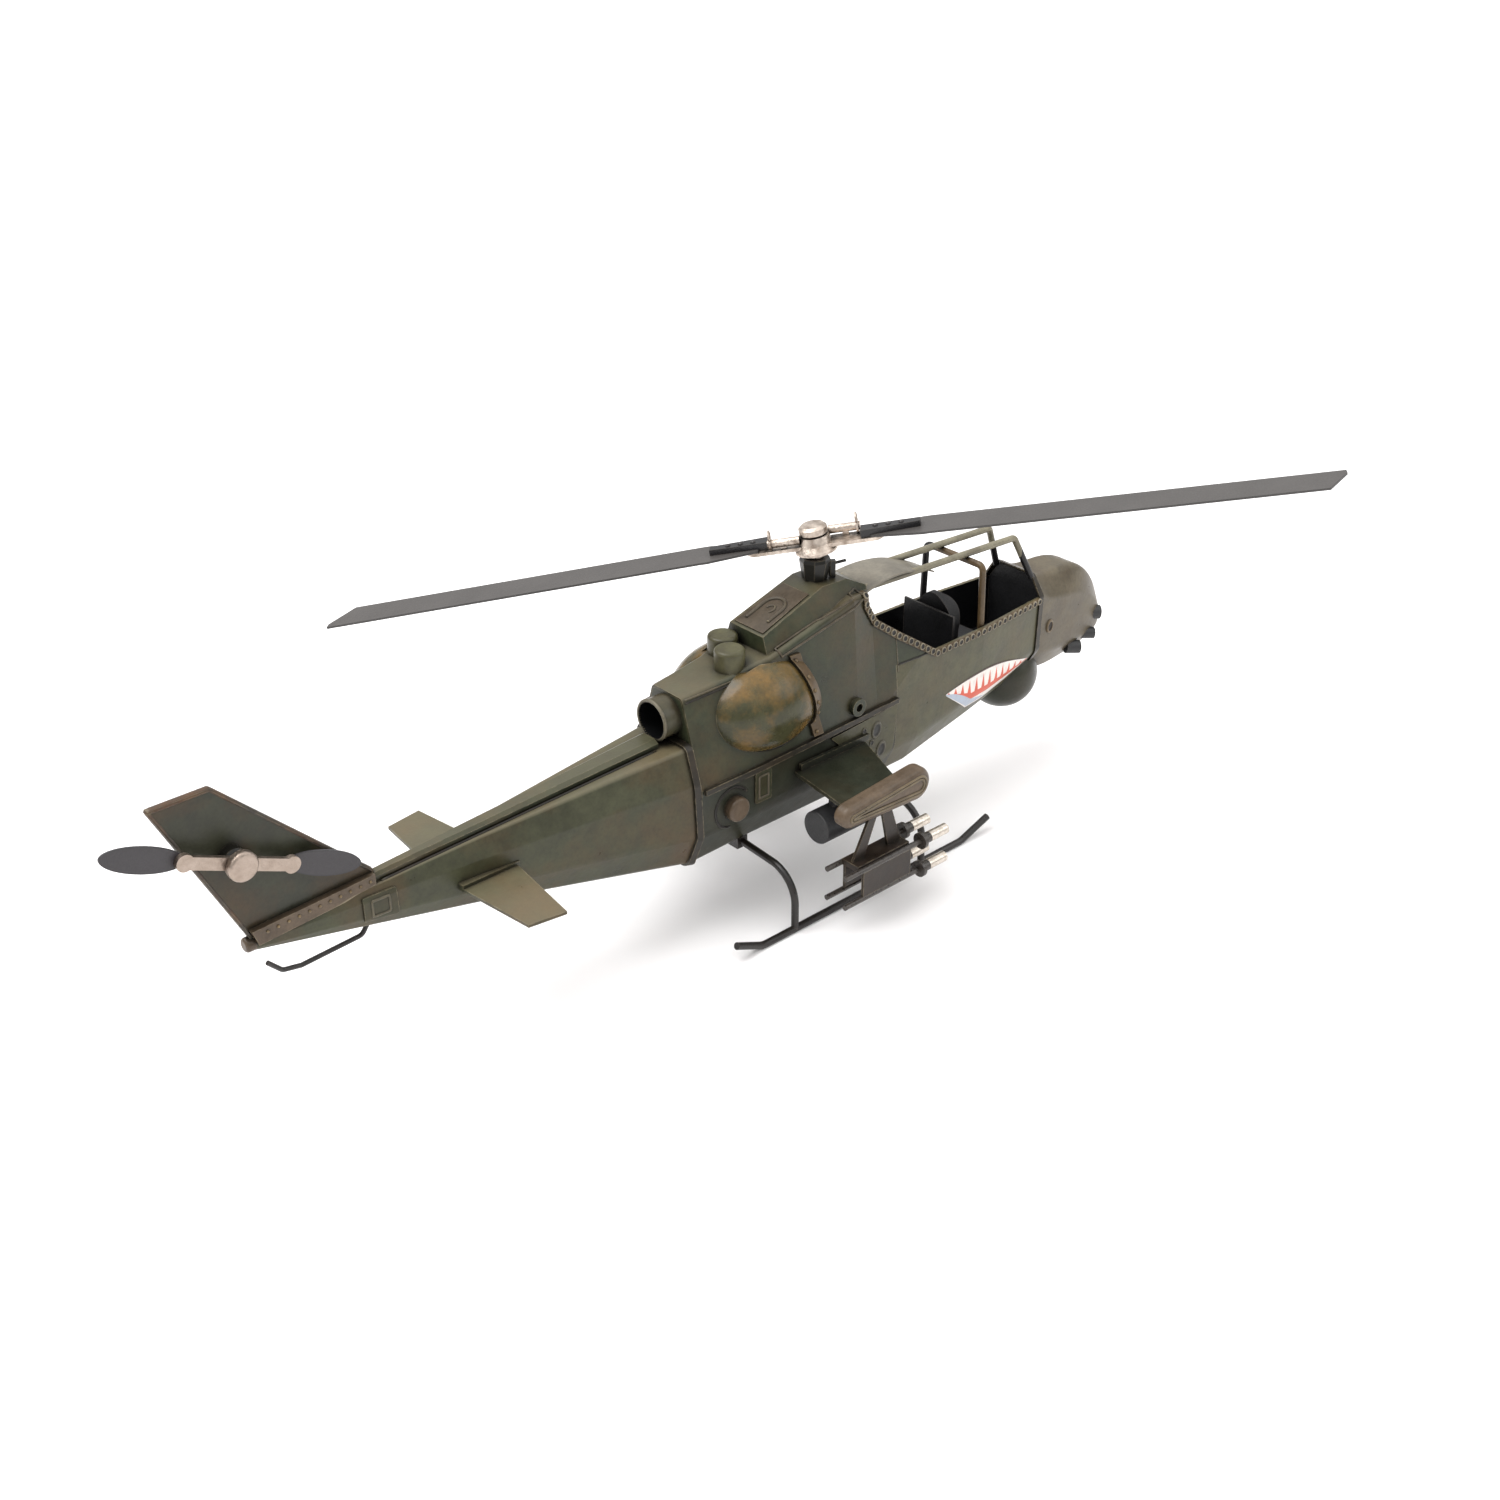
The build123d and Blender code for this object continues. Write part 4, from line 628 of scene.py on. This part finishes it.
class HELI_OT_frame_finishes(bpy.types.Operator):
    """Puts the finishes on the CAD nodes."""

    bl_idname = "heli.frame_finishes"
    bl_label = "Frame finishes"

    def execute(self, context):
        p = paints()
        olive, rust, bronze = tuple(p.olive), tuple(p.rust), tuple(p.bronze)
        sleeve_x = box_mm("launcher_tubes")[1][0] - SLEEVE_LENGTH
        finishes = {
            aged_enamel("olive enamel on tin", olive, rust, seed=0.1, top_light_and_dust=0.18): (
                "cowl", "boom_spine_cover", "casing_rear_plate", "side_washers", "access_plates"),
            aged_enamel("olive enamel on the boom", colour("3a3b29"), rust, 0.6, patch_mm=40.0, seed=1.7,
                        top_light_and_dust=0.28): ("tail_boom", "stabilizers"),
            aged_enamel("olive enamel on the fin", colour("2f3024"), colour("4a321b"), 0.6, seed=2.1): ("fin",),
            aged_enamel("olive enamel, open shell", olive, rust, 0.4, seed=0.2, inside=CASING_MIDDLE,
                        top_light_and_dust=0.22): ("engine_casing",),
            # Darker olive: paint, deepened on the lower hull as painted shade under the stub wings.
            aged_enamel("dark olive enamel, partly painted shade", colour("282b20"), colour("3a2c1c"), 0.4, seed=0.8): (
                "center_hull", "stub_wings", "chin_turret"),
            aged_enamel("seam strips, dark wash", colour("24211a"), colour("3f3122"), 0.5, seed=1.3, rub=0.9): (
                "joint_band", "ledge_strips", "nose_band"),
            aged_enamel("faded olive enamel, open shell", colour("4b4a36"), rust, 0.3, seed=0.3,
                        inside=COCKPIT_MIDDLE): ("cockpit_hull",),
            aged_enamel("faded olive enamel", colour("585040"), colour("47392a"), 0.5, patch_mm=18.0, seed=0.5,
                        rub=0.4): ("nose_shell",),
            # Paler enamel on the up-facing roof panel: painted top light.
            aged_enamel("roof enamel paled as painted top light", colour("716c61"), colour("5b5346"), 0.4, seed=0.6): ("roof_panel",),
            aged_enamel("olive enamel, pipe", colour("3b3a2b"), rust, 0.3, inside=PIPE_MIDDLE): ("exhaust_pipe",),
            aged_enamel("coppered enamel", colour("3b3a25"), colour("7b5c2c"), 0.8, gloss=0.24, patch_mm=15.0,
                        seed=0.9): ("intake_scoops",),
            aged_enamel("bronze wash on brass strip", bronze, colour("3f2f1e"), 0.7, patch_mm=8.0, seed=0.4): (
                "sill_trims", "scoop_straps"),
            aged_enamel("bronze wash on wire", colour("55452f"), colour("3d2c1a"), 0.7, patch_mm=8.0, seed=0.4,
                        black=("Y", BLACK_HOOP_Y)): ("canopy_hoop",),
            aged_enamel("bronze wash on tin", colour("57493a"), colour("382a1b"), 0.6, patch_mm=12.0, seed=0.6): (
                "wingtip_fairings", "tail_end_plug", "fin_root_strips", "side_plugs"),
            aged_enamel("brown-olive enamel", colour("4b4134"), colour("30271b"), 0.6, patch_mm=12.0, seed=1.5): (
                "cowl_hatch",),
            aged_enamel("brown-black enamel", colour("2c231c"), colour("1b1510"), 0.6, patch_mm=12.0, seed=1.8): (
                "launcher_racks",),
            aged_enamel("grey-olive enamel", colour("48462f"), colour("352d1e"), 0.5, patch_mm=9.0, seed=1.1): (
                "filler_caps", "wing_root_plates"),
            aged_enamel("grey enamel on wire", colour("76715f"), colour("5b5243"), 0.5, patch_mm=9.0, seed=1.1,
                        black=("X", BLACK_POST_X)): ("canopy_rails",),
            aged_enamel("black olive enamel", colour("141410"), colour("1c1711"), 0.4, gloss=0.34, seed=0.7): (
                "mast_collar", "tail_boss", "pitch_link"),
            black_lacquer("matt black enamel", colour("29292a"), 0.45): ("rocket_pods", "nose_sights"),
            black_lacquer("black cockpit enamel", colour("0f0f11"), 0.5): (
                "cockpit_floor", "seats", "instrument_partition", "cockpit_bulkhead"),
            black_lacquer("brown-black lacquer on wire", colour("17120f"), 0.26): (
                "skids", "cross_tubes", "skid_saddles", "tail_skid"),
            black_lacquer("black lacquer on castings", colour("151417"), 0.28): ("blade_grips",),
            cast_nickel("tumbled nickel plate"): (
                "hub_cap", "hub_flange", "yoke_plates", "drag_braces", "teeter_pin", "mast_shaft"),
            # The tail's nickel is the head's plate given a darker tone: painted shade.
            cast_nickel("nickel plate darkened as painted shade", "a3958a"): ("tail_yoke", "tail_hub_cap", "tail_shaft"),
            turned_brass("turned brass"): ("mast_bush",),
            blade_enamel("grey enamel on sheet steel", colour("484543"), colour("121113")): (
                "main_blade_front", "main_blade_rear"),
            blade_enamel("dark enamel on sheet steel", colour("302d30"), colour("1f1e21")): ("tail_blades",),
            launcher_mix("lacquered rods, nickel sleeves", sleeve_x): ("launcher_tubes",),
        }
        dressed = set()
        for finish, names in finishes.items():
            for name in names:
                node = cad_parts[name]
                for slot in node.material_slots:
                    slot.material = finish
                dressed.add(name)
        bare = set(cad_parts) - dressed
        if bare:
            raise RuntimeError(f"nodes without a finish: {sorted(bare)}")
        return {"FINISHED"}


class HELI_OT_sill_eyelets(bpy.types.Operator):
    """Pressed eyelets along both sill trims."""

    bl_idname = "heli.sill_eyelets"
    bl_label = "Sill eyelets"

    def execute(self, context):
        spots, outward = landed(["sill_trims"], evenly(side_points(SILL_MIDDLE), sizes().eyelet_pitch / MM))
        r = sizes().eyelet_radius / MM
        outline = [(r, -0.4), (r, 0.1), (r * 0.9, 0.5), (r * 0.76, 0.5), (r * 0.62, 0.1), (r * 0.3, 0.05),
                   (0, 0.05)]
        shape = stamped(outline, spots, outward, (1, 0, 0), count=12)
        finish = pressed_eyelets("pressed brass strip", colour("857b66"), colour("120e0a"))
        piece("sill_eyelets", [shape, port(shape)], AIRFRAME, finish)
        return {"FINISHED"}


class HELI_OT_rivets(bpy.types.Operator):
    """Domed rivets on the scoop straps and the fin's root strips."""

    bl_idname = "heli.rivets"
    bl_label = "Rivets"

    def execute(self, context):
        r = sizes().rivet_radius / MM
        dome = np.array([(r, -0.4), (r, 0.1), (r * 0.85, 0.45), (r * 0.5, 0.66), (0, 0.72)])
        finish = aged_enamel("rubbed brass rivets", colour("6f5c3f"), colour("362617"), 0.6, gloss=0.35,
                             patch_mm=4.0)
        low, high = box_mm("scoop_straps")
        z = np.linspace(low[2] + 2.0, high[2] - 2.2, 7)
        middle = STRAP_FOOT[0] - math.tan(math.radians(STRAP_LEAN)) * (z - STRAP_FOOT[1])
        spots, outward = landed(["scoop_straps"], side_points(np.stack([middle, z], 1)))
        strap = stamped(dome, spots, outward, (1, 0, 0), count=10)
        piece("strap_rivets", [strap, port(strap)], AIRFRAME, finish)
        spots, outward = landed(["fin_root_strips"], evenly(side_points(ROOT_STRIP), 4.2))
        root = stamped(dome * 0.75, spots, outward, (1, 0, 0), count=10)
        piece("fin_rivets", [root, port(root)], AIRFRAME, finish)
        return {"FINISHED"}


class HELI_OT_jaws(bpy.types.Operator):
    """Painted jaws on both sides of the cockpit hull, over a thin coat that follows the tin."""

    bl_idname = "heli.jaws"
    bl_label = "Painted jaws"

    def execute(self, context):
        u = np.linspace(0.012, 0.985, 90)[:, None]
        v = np.linspace(0, 1, 22)[None, :]
        x = JAW_REAR[0] + (JAW_FRONT[0] - JAW_REAR[0]) * u
        roof = JAW_REAR[1] + (JAW_FRONT[1] - JAW_REAR[1]) * u + JAW_BULGE * np.sin(math.pi * u)
        floor = np.interp(x, *np.transpose(JAW_FLOOR))
        z = floor + (roof - floor) * v
        grid = np.stack([x + 0 * z, 0 * z, z], -1)
        on, outward = landed(["cockpit_hull"], grid.reshape(-1, 3))
        outward = outward.reshape(grid.shape)
        on = on.reshape(grid.shape)
        proud = sizes().jaw_proud / MM
        front_side, back_side = on + outward * proud, on - outward * 0.3
        points, faces = shell(front_side, back_side)
        uv = np.tile(np.stack([u + 0 * v, v + 0 * u], -1).reshape(-1, 2), (4, 1))
        starboard = (points, faces)
        finish = jaw_paint("brushed sign enamel")
        piece("painted_jaws", [starboard, port(starboard)], AIRFRAME, finish, uv=uv)
        return {"FINISHED"}


class HELI_OT_seams(bpy.types.Operator):
    """Soldered seams, scoop flanges, plug arcs and plate rims along the hull's skin."""

    bl_idname = "heli.seams"
    bl_label = "Seams"

    def execute(self, context):
        r = sizes().seam_radius / MM
        dark = aged_enamel("dark solder seam", colour("15130f"), colour("2a1f15"), 0.5, gloss=0.35, rub=0.2)
        light = aged_enamel("rubbed seam edge", colour("4d4839"), colour("40331f"), 0.5, rub=0.7)
        hull = ["engine_casing", "center_hull", "cockpit_hull"]

        def line(names, pairs, radius=r):
            """Half-round bead along a side-view line."""
            on, outward = landed(names, evenly(side_points(pairs), 1.5))
            return swept(on, outward, half_round(radius, radius * 0.8))

        a = np.linspace(0.12 * math.pi, 1.93 * math.pi, 60)
        scoop_rim = oval(SCOOP_CENTRE, SCOOP_RIM, a)
        scoop_rim = scoop_rim[(scoop_rim[:, 1] > 66) & (scoop_rim[:, 0] < 44) & (scoop_rim[:, 1] < 99)]
        b = np.linspace(math.radians(35), math.radians(265), 24)
        plug = oval(PLUG_CENTRE, PLUG_RIM, b)
        plug = plug[plug[:, 0] > -12.4]
        on, outward = landed(["tail_boom", "boom_spine_cover"], evenly(SPINE_EDGE, 3.0), axis=2, side=1)
        spine = swept(on, outward, half_round(0.55, 0.5))
        seams = [line(hull, SILL_SEAM), line(hull, DECK_SEAM), line(hull, scoop_rim, 0.5),
                 line(hull, plug, 0.6), spine]
        piece("dark_seams", seams + [port(s) for s in seams], AIRFRAME, dark)
        edges = [line(hull, BAY_EDGE, 0.3), line(hull, DECK_EDGE, 0.35)]
        piece("light_seams", edges + [port(s) for s in edges], AIRFRAME, light)

        rims = []
        for rear, front, foot, top in PLATES:
            loop = np.array([(rear, foot), (front, foot), (front, top), (rear, top), (rear, foot)])
            path = evenly(loop, 0.8)[:-1]
            on, outward = landed(["access_plates"], side_points(path))
            rims.append(swept(on, outward, half_round(0.5, 0.45), closed=True))
        piece("plate_rims", rims + [port(s) for s in rims], AIRFRAME, light)
        return {"FINISHED"}


class HELI_OT_root_dimples(bpy.types.Operator):
    """Oval pressed dimples in the wing root plates and small rings on the nose sides."""

    bl_idname = "heli.root_dimples"
    bl_label = "Root dimples"

    def execute(self, context):
        finish = pressed_eyelets("pressed tin dimples", colour("504c3e"), colour("12110d"))
        outline = [(2.7, -0.4), (2.7, 0.1), (2.4, 0.5), (2.0, 0.5), (1.6, 0.12), (0.6, 0.08), (0, 0.08)]
        spots, outward = landed(["wing_root_plates"], side_points([(78.5, 57.5), (81.5, 47.5)]))
        big = stamped(outline, spots, outward, (0.3, 0, 1), count=20, stretch=1.45)
        small_outline = [(r * 0.5, h * 0.7) for r, h in outline]
        spots, outward = landed(["wing_root_plates"], side_points([(71.5, 59.5), (76.0, 52.5)]))
        small = stamped(small_outline, spots, outward, (1, 0, 0), count=12)
        piece("root_dimples", [big, port(big), small, port(small)], AIRFRAME, finish)
        bronze = pressed_eyelets("pressed bronze rings", colour("6f5f47"), colour("241a11"))
        ring = [(2.3, -0.5), (2.3, 0.3), (2.0, 0.8), (1.7, 0.8), (1.5, 0.2), (0.9, 0.15), (0, 0.6)]
        spots, outward = landed(["nose_shell"], side_points([(193.0, 64.5)]))
        eye = stamped(ring, spots, outward, (0, 0, 1), count=18, stretch=1.4)
        piece("nose_rings", [eye, port(eye)], AIRFRAME, bronze)
        return {"FINISHED"}


class HELI_OT_cowl_details(bpy.types.Operator):
    """Arch and border pressed in the cowl hatch, and the long strips on the cowl's sides."""

    bl_idname = "heli.cowl_details"
    bl_label = "Cowl details"

    def execute(self, context):
        finish = aged_enamel("rubbed cowl pressings", colour("443d30"), colour("372b1e"), 0.5, rub=0.9)
        a = np.linspace(0, math.pi, 16)
        arch = np.concatenate([[(31.5, 5.0)], np.stack([40.5 + 5.2 * np.sin(a), 5.0 * np.cos(a)], 1),
                               [(33.5, -5.0)]])
        hook = np.stack([39.5 + 2.0 * np.sin(a * 1.3), 1.8 * np.cos(a * 1.3)], 1)
        shapes = []
        for path, bead in ((evenly(arch, 0.7), half_round(0.75, 0.7)), (hook, half_round(0.5, 0.45))):
            flat = np.column_stack([path, np.zeros(len(path))])
            on, outward = landed(["cowl_hatch"], flat, axis=2, side=1)
            shapes.append(swept(on, outward, bead))
        piece("hatch_arch", shapes, AIRFRAME, finish)

        path = evenly(side_points(STRIP_CORNERS), 1.0)[:-1]
        on, outward = landed(["cowl", "engine_casing"], path)
        strip = swept(on, outward, half_round(0.5, 0.5), closed=True)
        piece("cowl_strips", [strip, port(strip)], AIRFRAME, finish)
        return {"FINISHED"}


class HELI_OT_fairing_ridges(bpy.types.Operator):
    """Pressed ridges that echo the outline on the outer faces of the wingtip fairings."""

    bl_idname = "heli.fairing_ridges"
    bl_label = "Fairing ridges"

    def execute(self, context):
        low, high = box_mm("wingtip_fairings")
        big, small = 7.0, 4.6
        front, rear = np.array([high[0] - big, 55.5]), np.array([low[0] + small, 54.9])
        turn = math.acos((small - big) / np.linalg.norm(front - rear))
        a = np.concatenate([np.linspace(-turn, turn, 30), np.linspace(turn, 2 * math.pi - turn, 24)[1:-1]])
        shapes = []
        for inset in (3.1, 4.3):
            on_front = np.arange(len(a)) < 30
            centre = np.where(on_front[:, None], front, rear)
            radius = np.where(on_front, big - inset, max(small - inset, 0.35))
            ring = centre + radius[:, None] * np.stack([np.cos(a), np.sin(a)], 1)
            path = np.stack([ring[:, 0], np.full(len(ring), low[1]), ring[:, 1]], 1)
            shapes.append(swept(path, np.array([0.0, -1.0, 0.0]), half_round(sizes().ridge_radius / MM, 0.5),
                                closed=True))
        finish = aged_enamel("rubbed bronze ridges", colour("685b45"), colour("43331f"), 0.5, patch_mm=10.0)
        piece("fairing_ridges", shapes + [port(s) for s in shapes], AIRFRAME, finish)
        return {"FINISHED"}


class HELI_OT_rolled_edges(bpy.types.Operator):
    """Rolled edge of the fin and rolled lip of the exhaust."""

    bl_idname = "heli.rolled_edges"
    bl_label = "Rolled edges"

    def execute(self, context):
        path = evenly(side_points(FIN_EDGE), 1.5)
        ahead = unit(np.gradient(path, axis=0))
        outward = np.cross(ahead, [0.0, -1.0, 0.0]) * -1
        middle = path.mean(0)
        if ((path - middle) * outward).sum() < 0:
            outward = -outward
        a = np.linspace(0, 2 * math.pi, 12, endpoint=False)
        outline = np.stack([1.5 * np.cos(a), 0.95 * np.sin(a) - 0.6], 1)
        finish = aged_enamel("brown rolled edge", colour("35302a"), colour("5a3d25"), 0.8, patch_mm=14.0, rub=0.9)
        piece("fin_edge", [swept(path, outward, outline)], AIRFRAME, finish)
        low = box_mm("exhaust_pipe")[0]
        a = np.linspace(0, 2 * math.pi, 48, endpoint=False)
        ring = np.column_stack([np.full(len(a), low[0] + 0.45), oval((0.0, PIPE_MIDDLE), LIP_RADIUS, a)])
        away = np.column_stack([np.zeros(len(a)), np.cos(a), np.sin(a)])
        lip = swept(ring, away, full_round(0.62), closed=True)
        finish = aged_enamel("rubbed pipe lip", colour("5d584a"), colour("3d352a"), 0.4)
        piece("exhaust_lip", [lip], AIRFRAME, finish)
        return {"FINISHED"}


class HELI_OT_head_details(bpy.types.Operator):
    """Wire clips on the drag braces and bolts in the blade grips, on the teetering head."""

    bl_idname = "heli.head_details"
    bl_label = "Rotor head details"

    def execute(self, context):
        level = np.array([math.cos(HEAD_HEADING), math.sin(HEAD_HEADING), 0.0])
        upright = np.array([0.0, 0.0, 1.0])
        ahead = level * math.cos(HEAD_TILT) + upright * math.sin(HEAD_TILT)
        up = upright * math.cos(HEAD_TILT) - level * math.sin(HEAD_TILT)
        clips, bolts = [], []
        for way in (1, -1):
            out = ahead * way
            across = np.cross(up, out)
            a = np.linspace(0, 2 * math.pi, 24, endpoint=False)[:, None]
            r = sizes().clip_radius / MM
            spot = HEAD_CENTRE + out * CLIP_REACH + across * BRACE_SIDE + up * (BRACE_TOP + r * 0.9)
            ring = spot + r * (np.cos(a) * across + np.sin(a) * up)
            clips.append(swept(ring, np.cos(a) * across + np.sin(a) * up, full_round(0.4, 8), closed=True))
            places = np.array([HEAD_CENTRE + out * reach + up * BOLT_HEIGHT for reach in BOLT_REACHES])
            dome = [(1.1, -0.3), (1.1, 0.25), (0.8, 0.7), (0, 0.85)]
            bolts.append(stamped(dome, places, up, out, count=10))
        piece("brace_clips", clips, HEAD, cast_nickel("nickel wire"))
        piece("grip_bolts", bolts, HEAD, black_lacquer("lacquered bolts", colour("201e20"), 0.25))
        return {"FINISHED"}


OPERATORS = (HELI_OT_studio, HELI_OT_frame_finishes, HELI_OT_sill_eyelets, HELI_OT_rivets, HELI_OT_jaws,
             HELI_OT_seams, HELI_OT_root_dimples, HELI_OT_cowl_details, HELI_OT_fairing_ridges,
             HELI_OT_rolled_edges, HELI_OT_head_details)
GROUPS = {"helicopter_paints": HelicopterPaints, "helicopter_sizes": HelicopterSizes,
          "helicopter_studio": HelicopterStudio}


class HELI_PT_panel(bpy.types.Panel):
    """Lists the pieces and their settings."""

    bl_label = "Tin helicopter"
    bl_idname = "HELI_PT_panel"
    bl_space_type = "VIEW_3D"
    bl_region_type = "UI"
    bl_category = "Helicopter"

    def draw(self, context):
        """One box for each group of settings, then one button for each operator."""
        for group in GROUPS:
            box = self.layout.box()
            settings = getattr(context.scene, group)
            for key in settings.bl_rna.properties.keys():
                if key not in ("rna_type", "name"):
                    box.prop(settings, key)
        for operator in OPERATORS:
            self.layout.operator(operator.bl_idname)


def register():
    """Adds the property groups, operators and panel."""
    for group in GROUPS.values():
        bpy.utils.register_class(group)
    for name, group in GROUPS.items():
        setattr(bpy.types.Scene, name, PointerProperty(type=group))
    for operator in OPERATORS:
        bpy.utils.register_class(operator)
    bpy.utils.register_class(HELI_PT_panel)


def unregister():
    """Takes them away again."""
    bpy.utils.unregister_class(HELI_PT_panel)
    for operator in reversed(OPERATORS):
        bpy.utils.unregister_class(operator)
    for name, group in GROUPS.items():
        delattr(bpy.types.Scene, name)
        bpy.utils.unregister_class(group)


def main():
    """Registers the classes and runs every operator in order."""
    register()
    for operator in OPERATORS:
        family, name = operator.bl_idname.split(".")
        getattr(getattr(bpy.ops, family), name)()


if __name__ == "__main__":
    main()
